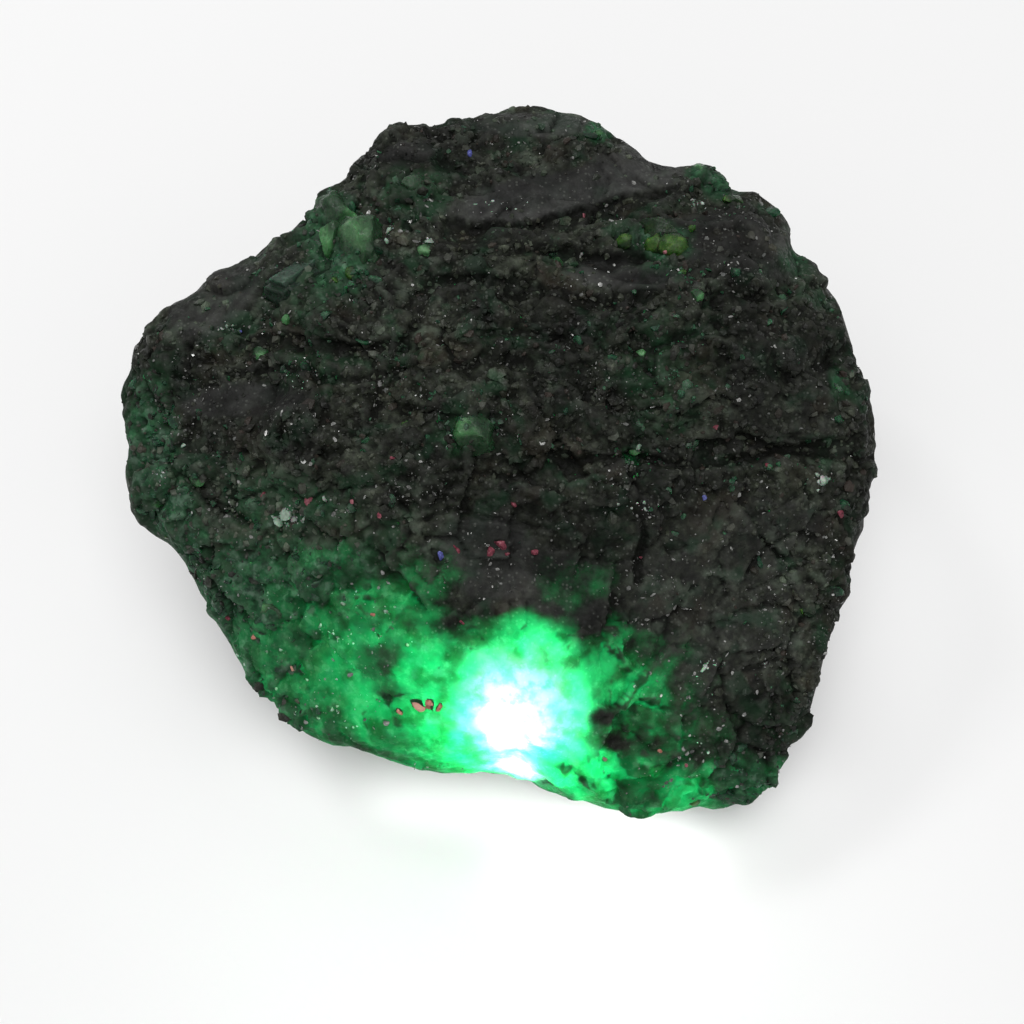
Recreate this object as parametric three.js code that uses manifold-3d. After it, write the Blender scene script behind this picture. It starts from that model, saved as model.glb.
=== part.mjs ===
// A rough emerald: one broken lump of dark mica schist with green beryl grown all through it.
// It is a single natural piece, so the model is a single closed solid. The lump lies on a flat
// broken base with its broad face leaning back. Its silhouette across that face, the flat
// breaks that bound it, and the ledges where the schist split along its layers are all given below.
// Units are millimetres, +X to the right, +Y away from the viewer's side, +Z up.
// The origin is on the ground, at the centre of the lump's bounding box.

import * as THREE from "three";
import { mergeVertices } from "three/addons/utils/BufferGeometryUtils.js";
import { ImprovedNoise } from "three/addons/math/ImprovedNoise.js";
import Module from "manifold-3d";

// ---- driving dimensions ----

const FACE_TILT = THREE.MathUtils.degToRad(60); // the broad face looks this far above the horizon
const FRONT_DEPTH = 15; // from the silhouette's plane to the front of the lump
const BACK_DEPTH = 30; // from the silhouette's plane to the back, before the base is broken off
const PILLOW_POWER = 2.5; // 2 is an ellipsoid, more is boxier
const SHOULDER_DROP = 8; // how far the top edge of the face falls back behind the silhouette's plane
const CREST = 33; // height of that top edge above the middle of the face
const RIM_BAND = [0.04, 0.3]; // how far out of the silhouette's plane a direction leans before breaks apply
const GROUND = -22.5; // height of the broken base below the middle of the face
const BELOW = { width: 160, height: 40 }; // the block that takes the base off
const SPHERE_DETAIL = 22; // the icosahedron's edges are divided into this many and one more

// The silhouette as seen square on to the broad face: [right, up] from the middle of the face.
const SILHOUETTE = [
  [34.9, 0.5], [34.6, 5.0], [33.2, 9.4], [32.3, 13.8], [30.7, 17.0], [28.7, 19.3],
  [27.2, 22.5], [24.7, 25.0], [21.6, 26.0], [20.6, 28.1], [15.6, 28.6], [11.0, 31.1],
  [7.5, 33.3], [3.4, 34.1], [-1.5, 33.7], [-6.2, 32.6], [-11.2, 31.7], [-13.7, 29.0],
  [-16.3, 25.9], [-19.2, 22.3], [-22.6, 19.9], [-27.1, 17.2], [-31.5, 13.4], [-34.3, 9.7],
  [-35.0, 5.0], [-34.4, 0.5], [-34.6, -3.2], [-33.4, -6.2], [-30.0, -8.9], [-27.3, -13.8],
  [-24.4, -18.9], [-21.7, -23.2], [-17.4, -26.0], [-11.7, -28.0], [-5.2, -29.7], [0.4, -29.6],
  [6.7, -32.2], [12.2, -33.6], [17.6, -33.1], [23.1, -32.8], [25.7, -31.0], [26.4, -28.0],
  [28.6, -25.7], [30.1, -21.3], [31.3, -17.0], [32.7, -12.1], [33.9, -7.6], [34.9, -3.4],
];

// Flat breaks. Each is a plane: the way it faces [right, up, out of the face] and its distance
// from the middle of the lump.
const BREAKS = [
  { faces: [0.02, -0.02, 1.0], distance: 12.4 }, // the broad face itself
  { faces: [-0.02, 0.5, 1.0], distance: 18.0 }, // the top, leaning away
  { faces: [-0.5, -0.35, 1.0], distance: 18.6 }, // lower left, where most of the emerald shows
  { faces: [0.36, -0.22, 1.0], distance: 16.8 }, // lower right
  { faces: [-0.62, 0.26, 1.0], distance: 20.5 }, // left shoulder
  { faces: [0.95, 0.3, 1.0], distance: 26.5 }, // right edge
  { faces: [0.1, 1.0, -0.25], distance: 31.5 }, // back wall
  { faces: [-0.75, 0.8, -0.5], distance: 27.0 }, // back left
  { faces: [0.85, 0.6, -0.55], distance: 29.0 }, // back right
  { faces: [-0.9, -0.2, -0.7], distance: 30.0 }, // under the left shoulder
  { faces: [0.9, -0.35, -0.8], distance: 30.5 }, // under the right edge
];
const BREAK_ROUNDING = 1.6; // how far the edge between two breaks is worn back
const GRAZING = 0.05; // a break cuts only the directions that meet it at more than this (a cosine)

// Hollows and ledges in the broad face: where, half length, half width, turn and depth.
const HOLLOWS = [
  { at: [5, 25.4], half: [13, 3.8], turn: 13, depth: 2.8 }, // smooth ledge under the crest
  { at: [9, 17.2], half: [10, 2.8], turn: 3, depth: 1.6 }, // second ledge, right of the middle
  { at: [-4, 15.6], half: [8, 2.0], turn: -6, depth: 1.1 }, // its narrow end
  { at: [-17, 7.2], half: [12, 3.4], turn: -10, depth: 1.3 }, // long ledge below the left shoulder
  { at: [20, 0.6], half: [13, 1.6], turn: 4, depth: 1.0 }, // groove along the right side
  { at: [5, -9.5], half: [8, 4.6], turn: 12, depth: 0.9 }, // smooth shallow break in the middle
  { at: [2.6, -29.8], half: [4.2, 2.6], turn: 14, depth: 1.4 }, // chip in the bottom edge
];
const HOLLOW_WALL = [0.55, 1.25]; // where a hollow's floor ends and its rim begins, in half lengths

// The schist's layers, which break into low steps towards the top of the face.
const LAYERS = {
  across: new THREE.Vector3(0.1, 0.82, 0.45).normalize(), // square to the layers
  spacing: 6.5,
  wander: { wavelength: 11, height: 0.9 }, // the height is in layers
  edge: 0.65, // where along a layer its step is highest, before it drops to the next
  step: { top: 0.9, bottom: 0.35 }, // height of a step at the top of the face and elsewhere
  topBegins: { up: [-8, 8], out: [-6, 2] },
};

// Broken roughness. Blows have knocked shallow scoops out of the lump, which meet in sharp ridges,
// over a gentle swell.
const SCOOPS = [
  { across: 13, depth: 1.9 },
  { across: 6, depth: 0.9 },
];
const SWELL = { wavelength: 17, height: 1.4, lift: 0.5 };

const CURVE_STEPS = 12; // samples of the silhouette between two of its points
const MERGE = 1e-4; // vertices closer than this are one

// ---- shape functions, all in the frame of the broad face ----

const noise = new ImprovedNoise();

/** Radius of the silhouette at an angle, from a closed curve through its points. */
function silhouetteReader() {
  const corners = SILHOUETTE.map(([x, y]) => new THREE.Vector3(x, y, 0));
  const curve = new THREE.CatmullRomCurve3(corners, true, "centripetal");
  const samples = curve.getPoints(SILHOUETTE.length * CURVE_STEPS).slice(0, -1);
  const rim = samples.map((p) => ({ angle: Math.atan2(p.y, p.x), radius: Math.hypot(p.x, p.y) }));
  rim.sort((a, b) => a.angle - b.angle);
  return (angle) => {
    let high = rim.findIndex((p) => p.angle > angle);
    if (high < 0) high = 0;
    const a = rim[(high + rim.length - 1) % rim.length];
    const b = rim[high];
    const turn = 2 * Math.PI;
    const span = (b.angle - a.angle + turn) % turn;
    const along = ((angle - a.angle + turn) % turn) / span;
    return THREE.MathUtils.lerp(a.radius, b.radius, along);
  };
}

const silhouetteRadius = silhouetteReader();

/** The smaller of two lengths, rounded off where they are within `rounding` of each other. */
function softMin(a, b, rounding) {
  const share = Math.max(rounding - Math.abs(a - b), 0) / rounding;
  return Math.min(a, b) - (share * share * rounding) / 4;
}

/** How deep a point of the face lies in the hollows. */
function hollowDepth(right, up) {
  return HOLLOWS.reduce((sum, { at, half, turn, depth }) => {
    const offset = new THREE.Vector2(right - at[0], up - at[1]);
    offset.rotateAround(new THREE.Vector2(), -THREE.MathUtils.degToRad(turn));
    const reach = Math.hypot(offset.x / half[0], offset.y / half[1]);
    return sum + depth * (1 - THREE.MathUtils.smoothstep(reach, ...HOLLOW_WALL));
  }, 0);
}

const AROUND = [-1, 0, 1];
const NEIGHBOURS = AROUND.flatMap((x) =>
  AROUND.flatMap((y) => AROUND.map((z) => new THREE.Vector3(x, y, z))),
);

// Any large, unrelated numbers will do to scatter the scoops.
const SCATTER = { cell: new THREE.Vector3(127.1, 311.7, 74.7), channel: 269.5, scale: 43758.5 };

/** A repeatable number from 0 to 1 for a cell of the grid and a channel. */
function cellNumber(cell, channel) {
  const mixed = Math.sin(cell.dot(SCATTER.cell) + channel * SCATTER.channel) * SCATTER.scale;
  return mixed - Math.floor(mixed);
}

/** Squared distance to the nearest of a jittered grid of scoop middles, both in grid cells. */
function fromScoopMiddle(point, across) {
  const at = point.clone().divideScalar(across);
  const home = at.clone().floor();
  const distances = NEIGHBOURS.map((step) => {
    const cell = home.clone().add(step);
    const jitter = new THREE.Vector3(cellNumber(cell, 0), cellNumber(cell, 1), cellNumber(cell, 2));
    return at.distanceToSquared(cell.add(jitter));
  });
  return Math.min(...distances);
}

/** Low steps where the layers break: they rise slowly and drop sharply. */
function layerStep(point) {
  const { across, spacing, wander, edge, step, topBegins } = LAYERS;
  const at = point.clone().divideScalar(wander.wavelength);
  const place = point.dot(across) / spacing + wander.height * noise.noise(at.x, at.y, at.z);
  const along = place - Math.floor(place);
  const rise = THREE.MathUtils.smoothstep(along, 0, edge);
  const drop = THREE.MathUtils.smoothstep(along, edge, 1);
  const upness = THREE.MathUtils.smoothstep(point.y, ...topBegins.up);
  const outness = THREE.MathUtils.smoothstep(point.z, ...topBegins.out);
  return THREE.MathUtils.lerp(step.bottom, step.top, upness * outness) * (rise - drop - 0.5);
}

/** Distance from the middle of the lump to its smooth surface: a pillow cut by the flat breaks. */
function smoothReach(direction) {
  const rim = silhouetteRadius(Math.atan2(direction.y, direction.x));
  const flat = Math.hypot(direction.x, direction.y);
  const depth = direction.z > 0 ? FRONT_DEPTH : BACK_DEPTH;
  const pillow = (flat / rim) ** PILLOW_POWER + (Math.abs(direction.z) / depth) ** PILLOW_POWER;
  const whole = pillow ** (-1 / PILLOW_POWER);
  let broken = whole;
  for (const { faces, distance } of BREAKS) {
    const facing = direction.dot(new THREE.Vector3(...faces).normalize());
    if (facing > GRAZING) broken = softMin(broken, distance / facing, BREAK_ROUNDING);
  }
  return THREE.MathUtils.lerp(whole, broken, offTheRim(direction));
}

/** 0 on the silhouette, so that nothing alters it there, and 1 away from it. */
function offTheRim(direction) {
  return THREE.MathUtils.smoothstep(Math.abs(direction.z), ...RIM_BAND);
}

/** Distance from the middle of the lump to its real, rough surface. */
function reach(direction) {
  const radius = smoothReach(direction);
  const point = direction.clone().multiplyScalar(radius);
  let raised = layerStep(point);
  if (direction.z > 0) raised -= hollowDepth(point.x, point.y);
  for (const { across, depth } of SCOOPS) {
    raised -= depth * Math.max(1 - 2 * fromScoopMiddle(point, across), 0);
  }
  const at = point.clone().divideScalar(SWELL.wavelength);
  raised += SWELL.lift + SWELL.height * noise.noise(at.x, at.y, at.z);
  return radius + raised * offTheRim(direction);
}

/** The lump before its base is broken off: a sphere pushed out to its reach, then leant back. */
function wholeLump() {
  const sphere = new THREE.IcosahedronGeometry(1, SPHERE_DETAIL);
  sphere.deleteAttribute("normal");
  sphere.deleteAttribute("uv");
  const lump = mergeVertices(sphere, MERGE);
  const places = lump.getAttribute("position");
  const direction = new THREE.Vector3();
  for (let i = 0; i < places.count; i++) {
    direction.fromBufferAttribute(places, i).normalize();
    const point = direction.clone().multiplyScalar(reach(direction));
    const upness = Math.max(point.y, 0) / CREST;
    point.z -= SHOULDER_DROP * upness * upness;
    places.setXYZ(i, point.x, point.y, point.z);
  }
  return lump.rotateX(Math.PI / 2 - FACE_TILT);
}

// ---- the base is broken off flat, with a boolean cut ----

const wasm = await Module();
wasm.setup();

/** A closed geometry with merged vertices as a manifold-3d solid. */
function solidOf(geometry) {
  const merged = mergeVertices(geometry, MERGE);
  const vertProperties = new Float32Array(merged.getAttribute("position").array);
  const triVerts = new Uint32Array(merged.index.array);
  return new wasm.Manifold(new wasm.Mesh({ numProp: 3, vertProperties, triVerts }));
}

/** A manifold-3d solid as a three.js geometry. */
function geometryOf(solid) {
  const mesh = solid.getMesh();
  const geometry = new THREE.BufferGeometry();
  geometry.setAttribute("position", new THREE.BufferAttribute(mesh.vertProperties, 3));
  geometry.setIndex(new THREE.BufferAttribute(mesh.triVerts, 1));
  return geometry;
}

/** Everything below the broken base, as a block wider than the lump. */
function belowBase() {
  const block = new THREE.BoxGeometry(BELOW.width, BELOW.width, BELOW.height);
  block.deleteAttribute("normal");
  block.deleteAttribute("uv");
  return block.translate(0, 0, GROUND - BELOW.height / 2);
}

/** Moves a geometry so that it stands on the ground with its bounding box centred on the origin. */
function standOnOrigin(geometry) {
  geometry.computeBoundingBox();
  const { min, max } = geometry.boundingBox;
  return geometry.translate(-(min.x + max.x) / 2, -(min.y + max.y) / 2, -min.z);
}

const lump = standOnOrigin(geometryOf(solidOf(wholeLump()).subtract(solidOf(belowBase()))));
lump.computeVertexNormals();

const darkSchist = new THREE.MeshStandardMaterial({
  name: "schist",
  color: 0x2c2f2c,
  roughness: 0.8,
  metalness: 0,
});

const stone = new THREE.Mesh(lump, darkSchist);
stone.name = "stone";

const roughEmerald = new THREE.Group();
roughEmerald.name = "rough_emerald";
roughEmerald.add(stone);

export default roughEmerald;
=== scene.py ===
# %% [markdown]
# # A rough emerald with a torch under it
# This lesson finishes one natural stone: a broken lump of dark mica schist, about 70 mm across, with
# green beryl grown all through it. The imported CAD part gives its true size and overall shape. Here
# the lump gets the fine, crumbly surface that a rock has, the minerals that show in it, and the light
# that makes emerald what it is. Each step says what is on the real stone first, and then how to make it.

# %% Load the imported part
import math

import bmesh
import bpy
import numpy as np
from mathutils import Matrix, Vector
from mathutils.bvhtree import BVHTree


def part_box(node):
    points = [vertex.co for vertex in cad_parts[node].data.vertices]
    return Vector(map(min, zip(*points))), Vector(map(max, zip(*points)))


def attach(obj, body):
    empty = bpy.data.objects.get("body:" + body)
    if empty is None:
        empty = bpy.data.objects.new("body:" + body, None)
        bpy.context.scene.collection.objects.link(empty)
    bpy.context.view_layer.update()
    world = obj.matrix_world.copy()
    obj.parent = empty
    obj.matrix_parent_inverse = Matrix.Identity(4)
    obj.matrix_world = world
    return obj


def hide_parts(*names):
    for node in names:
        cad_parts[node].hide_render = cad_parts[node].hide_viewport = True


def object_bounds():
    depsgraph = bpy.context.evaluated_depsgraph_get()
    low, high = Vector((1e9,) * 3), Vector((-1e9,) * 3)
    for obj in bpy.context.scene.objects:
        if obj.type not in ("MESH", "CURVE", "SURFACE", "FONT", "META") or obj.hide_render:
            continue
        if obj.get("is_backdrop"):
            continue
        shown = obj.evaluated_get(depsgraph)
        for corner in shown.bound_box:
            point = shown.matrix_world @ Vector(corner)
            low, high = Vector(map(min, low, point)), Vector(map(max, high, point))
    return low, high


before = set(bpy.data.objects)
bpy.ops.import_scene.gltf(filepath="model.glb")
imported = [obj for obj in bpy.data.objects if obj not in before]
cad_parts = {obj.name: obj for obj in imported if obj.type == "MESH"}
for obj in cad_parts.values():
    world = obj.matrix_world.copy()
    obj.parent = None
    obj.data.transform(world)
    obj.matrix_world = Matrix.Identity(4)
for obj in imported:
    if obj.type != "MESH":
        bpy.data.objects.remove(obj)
cad_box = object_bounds()
MM = 0.001
BASE_LOW, BASE_HIGH = (np.array(corner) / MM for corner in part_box("stone"))
print("CAD lump, mm:", np.round(BASE_HIGH - BASE_LOW, 1))

# %% [markdown]
# ## Where we stand
# The lump's broad face leans back and looks 60 degrees above the horizon, so the camera looks straight
# at that face. Everything that is placed one by one on the face is given as two numbers: millimetres to
# the right and millimetres up, as seen from the camera, measured in a frame that stands at AIM.
# `seen_from_front` turns points of the stone into those two numbers.

# %% The camera and the face's own frame
FACE_TILT = math.radians(60)
RIGHT = np.array([1.0, 0.0, 0.0])
UP_FACE = np.array([0.0, math.sin(FACE_TILT), math.cos(FACE_TILT)])
OUT = np.array([0.0, -math.cos(FACE_TILT), math.sin(FACE_TILT)])
AIM_FROM_MIDDLE = np.array([1.23, -5.37, -3.10])
AIM = (BASE_LOW + BASE_HIGH) / 2 + AIM_FROM_MIDDLE
CAMERA_DISTANCE = 200.0
LENS = 73.2
SENSOR_WIDTH = 36.0
EYE = AIM + OUT * CAMERA_DISTANCE

camera = bpy.data.objects.new("camera", bpy.data.cameras.new("camera"))
bpy.context.scene.collection.objects.link(camera)
camera.data.lens = LENS
camera.data.sensor_width = SENSOR_WIDTH
camera.data.clip_start = 0.01
camera.data.clip_end = 5.0
camera.location = Vector(EYE * MM)
camera.rotation_mode = "QUATERNION"
camera.rotation_quaternion = Vector(-OUT).to_track_quat("-Z", "Y")
bpy.context.scene.camera = camera


def seen_from_front(points):
    """Right and up, in mm, where the sight line to each point crosses the frame at AIM."""
    ray = points - EYE
    reach = CAMERA_DISTANCE / -(ray @ OUT)
    return np.stack([ray @ RIGHT * reach, ray @ UP_FACE * reach], axis=-1)


def towards_us(points, normals):
    """How squarely the surface faces the camera: 1 is straight at it, and below 0 it is turned away."""
    return np.einsum("ij,ij->i", normals, EYE - points) / CAMERA_DISTANCE


print("camera at, mm:", np.round(EYE, 1))

# %% [markdown]
# ## Chance, made repeatable
# Rock is irregular at every size, so most of its shape comes from noise. Noise here is a number for
# each corner of an endless grid, made by stirring the corner's whole-number address, and blended
# smoothly in between. The same address always gives the same number, so the stone never changes from
# one run to the next. Cells are the other ingredient: each grid box holds one scattered point, and
# the nearest of them tells which lump, chip or flake a place belongs to.


# %% Noise and cells
def stir(corner, channel):
    """A repeatable number from 0 to 1 for a whole-number grid corner."""
    x, y, z = (corner[..., i].astype(np.int64) for i in range(3))
    mixed = (x * 73856093) ^ (y * 19349663) ^ (z * 83492791) ^ (channel * 2654435761)
    mixed = ((mixed ^ (mixed >> 13)) * 1274126177) & 0xFFFFFFFF
    return ((mixed ^ (mixed >> 16)) & 0xFFFFFF) / 0xFFFFFF


def smooth_noise(points, size, channel):
    """Gentle noise from -1 to 1, with lumps about `size` mm across."""
    at = points / size
    home = np.floor(at)
    part = at - home
    blend = part * part * (3 - 2 * part)
    total = np.zeros(len(points))
    for step in np.ndindex(2, 2, 2):
        weight = np.prod(np.where(step, blend, 1 - blend), axis=1)
        total += weight * stir(home + step, channel)
    return 2 * total - 1


def rough_noise(points, size, channel, octaves=3):
    """Noise from about -1 to 1 with finer and finer lumps on it."""
    total = np.zeros(len(points))
    for octave in range(octaves):
        share = 0.5**octave
        total += share * smooth_noise(points, size * share, channel + octave)
    return total / (2 - 0.5 ** (octaves - 1))


def cells(points, size, channel):
    """The nearest scattered point's distance, its lead over the next, its place and its own number."""
    at = points / size
    home = np.floor(at)
    nearest = np.full(len(points), np.inf)
    second = nearest.copy()
    middle = np.zeros_like(points)
    number = np.zeros(len(points))
    for step in np.ndindex(3, 3, 3):
        box = home + np.array(step) - 1
        spot = box + np.stack([stir(box, channel + i) for i in range(3)], axis=-1)
        gap = np.linalg.norm(at - spot, axis=1)
        closer = gap < nearest
        second = np.where(closer, nearest, np.minimum(second, gap))
        middle = np.where(closer[:, None], spot * size, middle)
        number = np.where(closer, stir(box, channel + 3), number)
        nearest = np.minimum(nearest, gap)
    return nearest, second - nearest, middle, number


def ramp(value, low, high):
    """0 below low, 1 above high, and smooth between. With low above high it falls."""
    part = np.clip((value - low) / (high - low), 0, 1)
    return part * part * (3 - 2 * part)


trial = np.random.default_rng(1).uniform(-30, 30, (2000, 3))
print("noise spreads over", np.round(np.percentile(rough_noise(trial, 5, 3), [1, 99]), 2))

# %% [markdown]
# ## The lump's skin
# The CAD lump has the right size, outline and main breaks, but its triangles are 1.6 mm long and a
# rock shows detail ten times finer. A voxel remesh lays an even net of small quads over it. The net is
# first relaxed, so that the CAD's flat triangles melt into one surface, and only then roughened.

# %% Helpers that read and move a mesh
def point_array(mesh):
    """The mesh's points as rows of x, y, z in mm."""
    flat = np.empty(len(mesh.vertices) * 3, np.float32)
    mesh.vertices.foreach_get("co", flat)
    return flat.reshape(-1, 3).astype(float) / MM


def normal_array(mesh):
    """The mesh's vertex normals as rows."""
    flat = np.empty(len(mesh.vertices) * 3, np.float32)
    mesh.vertex_normals.foreach_get("vector", flat)
    return flat.reshape(-1, 3).astype(float)


def place_points(mesh, points):
    """Moves the mesh's points, given in mm."""
    mesh.vertices.foreach_set("co", (points * MM).astype(np.float32).ravel())
    mesh.update()


def new_piece(name, mesh):
    """An object for the mesh, in the scene."""
    piece = bpy.data.objects.new(name, mesh)
    bpy.context.scene.collection.objects.link(piece)
    return piece


def baked_by(piece, modifier_type, **settings):
    """Applies one modifier to the piece's mesh."""
    modifier = piece.modifiers.new(modifier_type, modifier_type)
    for key, value in settings.items():
        setattr(modifier, key, value)
    depsgraph = bpy.context.evaluated_depsgraph_get()
    mesh = bpy.data.meshes.new_from_object(piece.evaluated_get(depsgraph))
    piece.modifiers.clear()
    piece.data = mesh
    return mesh


# %% An even net over the lump
VOXEL = 0.30
RELAX_ROUNDS = 14
welded = bmesh.new()
welded.from_mesh(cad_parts["stone"].data)
bmesh.ops.remove_doubles(welded, verts=welded.verts, dist=0.001 * MM)
coarse = bpy.data.meshes.new("coarse")
welded.to_mesh(coarse)
welded.free()
stone = new_piece("emerald_stone", coarse)
net = baked_by(stone, "REMESH", mode="VOXEL", voxel_size=VOXEL * MM)


def edge_links(mesh):
    """Every edge's two ends, both ways round, and how many neighbours each point has."""
    pairs = np.empty(len(mesh.edges) * 2, np.int64)
    mesh.edges.foreach_get("vertices", pairs)
    pairs = pairs.reshape(-1, 2)
    starts = np.concatenate([pairs[:, 0], pairs[:, 1]])
    ends = np.concatenate([pairs[:, 1], pairs[:, 0]])
    return starts, ends, np.maximum(np.bincount(starts, minlength=len(mesh.vertices)), 1)


links = edge_links(net)


def relaxed(rows, rounds):
    """Each row replaced, again and again, by the mean of itself and its neighbours' mean."""
    starts, ends, neighbours = links
    for _ in range(rounds):
        sums = [np.bincount(starts, rows[ends, i], len(rows)) for i in range(rows.shape[1])]
        rows = (rows + np.stack(sums, axis=1) / neighbours[:, None]) / 2
    return rows


skin = relaxed(point_array(net), RELAX_ROUNDS)
place_points(net, skin)
print("net:", len(net.vertices), "points,", len(net.polygons), "faces")

# %% [markdown]
# ## Where the stone is calm and where it crumbles
# Mica schist splits along its layers into smooth, silky sheets, and crumbles into grains between them.
# The smooth places are laid out as ellipses on the face. The rest of the stone, which isn't
# seen from the front, gets smooth places from noise. One number per point, `calm`, then holds back
# the roughness wherever the surface should stay smooth.

# %% Smooth layers
# Each patch: right, up, half length, half height, turn in degrees, strength.
SMOOTH_PATCHES = [
    (4.5, 30.6, 11.0, 2.4, 10, 1.0),
    (12.5, 33.2, 5.5, 2.6, 12, 0.9),
    (2.0, 37.2, 6.5, 1.3, 0, 0.8),
    (-9.8, 34.4, 2.8, 1.5, 10, 0.8),
    (10.4, 22.9, 5.5, 1.8, -4, 0.9),
    (22.0, 25.6, 7.5, 3.2, -12, 0.8),
    (-26.0, 10.7, 6.5, 1.8, 4, 0.9),
    (-28.5, 20.5, 5.5, 3.2, 38, 0.8),
    (-2.0, -4.6, 5.4, 4.2, -10, 0.8),
    (5.0, -7.8, 5.4, 4.0, 0, 0.7),
    (19.0, -8.5, 10.0, 9.5, 15, 0.5),
    (24.0, -1.5, 7.0, 3.0, 0, 0.5),
    (26.0, 11.0, 6.0, 7.0, 20, 0.35),
    (0.0, -19.0, 9.5, 7.0, 0, 0.85),
    (-12.0, -14.5, 8.5, 6.0, -15, 0.7),
    (-21.5, -11.0, 7.0, 6.0, -35, 0.5),
]


def patches(seen, ellipses, wobble, outside=1.2, inside=0.75):
    """The strongest patch at each point, fading from `outside` to `inside` its shaken outline."""
    found = np.zeros(len(seen))
    for right, up, half_length, half_height, turn, strength in ellipses:
        angle = math.radians(turn)
        away = seen - (right, up)
        along = away[:, 0] * math.cos(angle) + away[:, 1] * math.sin(angle)
        across = away[:, 1] * math.cos(angle) - away[:, 0] * math.sin(angle)
        reach = np.hypot(along / half_length, across / half_height) + wobble
        found = np.maximum(found, strength * ramp(reach, outside, inside))
    return found


def smooth_layers(points, in_sight):
    """How smooth each point is: the drawn patches where the camera sees it, and noise elsewhere."""
    wobble = 0.22 * rough_noise(points, 3.5, 11)
    front = patches(seen_from_front(points), SMOOTH_PATCHES, wobble)
    elsewhere = 0.85 * ramp(rough_noise(points * (1, 1, 2), 15, 17), 0.10, 0.32)
    return front * in_sight + elsewhere * (1 - in_sight)


facing = normal_array(net)
seen = seen_from_front(skin)
in_sight = ramp(towards_us(skin, facing), -0.05, 0.15)
calm = smooth_layers(skin, in_sight)
print(f"smooth layers cover {np.mean(calm > 0.4):.0%} of the stone")

# %% [markdown]
# ## Breaks, steps, crumbs, pits and cracks
# Real broken rock has a shape at every scale, so the skin is moved in and out in several passes that
# are simply added up. Chips are flat facets, each tilted its own way, made by giving every cell a
# plane of its own. Steps follow the layers of the schist. Crumbs are small domes packed side by side.
# Pits are where a grain has fallen out. Cracks and ledges are drawn as lines on the face.

# %% Chips, layer steps and crumbs
LAYER_ACROSS = 0.1 * RIGHT + 0.82 * UP_FACE + 0.45 * OUT
LAYER_ACROSS /= np.linalg.norm(LAYER_ACROSS)


def chips(points, size, tilt, channel):
    """Flat facets: each cell is a plane through its middle, tilted its own way."""
    _, lead, middle, number = cells(points, size, channel)
    address = np.floor(middle / size * 1000)
    lean = np.stack([stir(address, channel + 7 + i) for i in range(3)], axis=-1) * 2 - 1
    height = tilt * np.einsum("ij,ij->i", points - middle, lean) + tilt * size * 0.3 * (number - 0.5)
    return height - 0.12 * tilt * size * ramp(lead, 0.1, 0)


def layer_steps(points, spacing, channel):
    """A saw that climbs slowly along the layers and drops at each broken edge, from -0.5 to 0.5."""
    wander = rough_noise(points, spacing * 3.2, channel, 2)
    place = points @ LAYER_ACROSS / spacing + 1.1 * wander
    along = place - np.floor(place)
    return ramp(along, 0, 0.78) - ramp(along, 0.78, 1) - 0.5


def crumbs(points, size, channel):
    """Domes packed side by side, from about -0.5 between them to 0.5 on top."""
    nearest, lead, _, number = cells(points, size, channel)
    return (0.6 - nearest) * (0.5 + number) - 0.35 * ramp(lead, 0.16, 0)


print("chips move the skin, mm:", np.round(np.percentile(chips(trial, 5.2, 0.30, 71), [1, 99]), 2))

# %% [markdown]
# Cracks are where the rock has begun to part. Each is a line of a few points on the face, shaken a
# little by noise, and the skin is set back close to it.

# %% Cracks drawn as lines
# Each crack: its half width and depth, and the points it runs through, right and up.
CRACKS = [
    (0.42, 0.9, [(11.3, 3.6), (12.3, 1.4), (12.5, -2.4), (12.2, -6.6)]),
    (0.50, 0.9, [(5.0, 4.9), (12.5, 5.2), (18.0, 4.4), (26.0, 6.0), (34.4, 5.2)]),
    (0.60, 1.1, [(-8.5, 25.4), (-3.0, 25.8), (3.5, 25.2), (9.6, 24.0), (12.4, 24.6)]),
    (0.28, 0.5, [(22.5, -5.8), (24.4, -3.2), (27.0, -1.9), (29.3, -2.6)]),
    (0.35, 0.4, [(-13.2, -1.8), (-9.0, -1.0), (-5.6, 0.2), (-1.0, -0.9), (4.2, -2.0)]),
    (0.45, 0.8, [(-27.5, 13.4), (-22.0, 13.9), (-16.0, 12.6), (-11.5, 13.2)]),
    (0.40, 0.7, [(-16.5, 18.0), (-13.5, 15.4), (-12.6, 12.4), (-13.6, 8.6)]),
    (0.25, 0.4, [(21.5, -9.6), (24.5, -8.9), (27.6, -9.8)]),
    (0.28, 0.5, [(22.2, -15.2), (25.5, -14.3), (28.6, -15.0)]),
    (0.40, 0.7, [(8.2, -25.2), (11.0, -26.6), (14.2, -25.4), (17.4, -23.4)]),
    (0.32, 0.4, [(-3.6, 5.2), (0.5, 4.2), (3.2, 5.4), (6.4, 4.2)]),
    (0.50, 0.8, [(13.8, 33.0), (17.6, 34.0), (20.8, 32.6)]),
]


def cracks(seen, shake):
    """How deep the drawn cracks go at each point, in mm."""
    deepest = np.zeros(len(seen))
    shaken = seen + shake
    for half_width, depth, line in CRACKS:
        nearest = np.full(len(seen), np.inf)
        for start, end in zip(np.array(line[:-1]), np.array(line[1:])):
            run = end - start
            part = np.clip((shaken - start) @ run / (run @ run), 0, 1)
            nearest = np.minimum(nearest, np.linalg.norm(shaken - start - part[:, None] * run, axis=1))
        deepest = np.maximum(deepest, depth * ramp(nearest, half_width * 1.5, half_width * 0.2))
    return deepest


print(len(CRACKS), "cracks, the deepest", max(depth for _, depth, _ in CRACKS), "mm")
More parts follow.
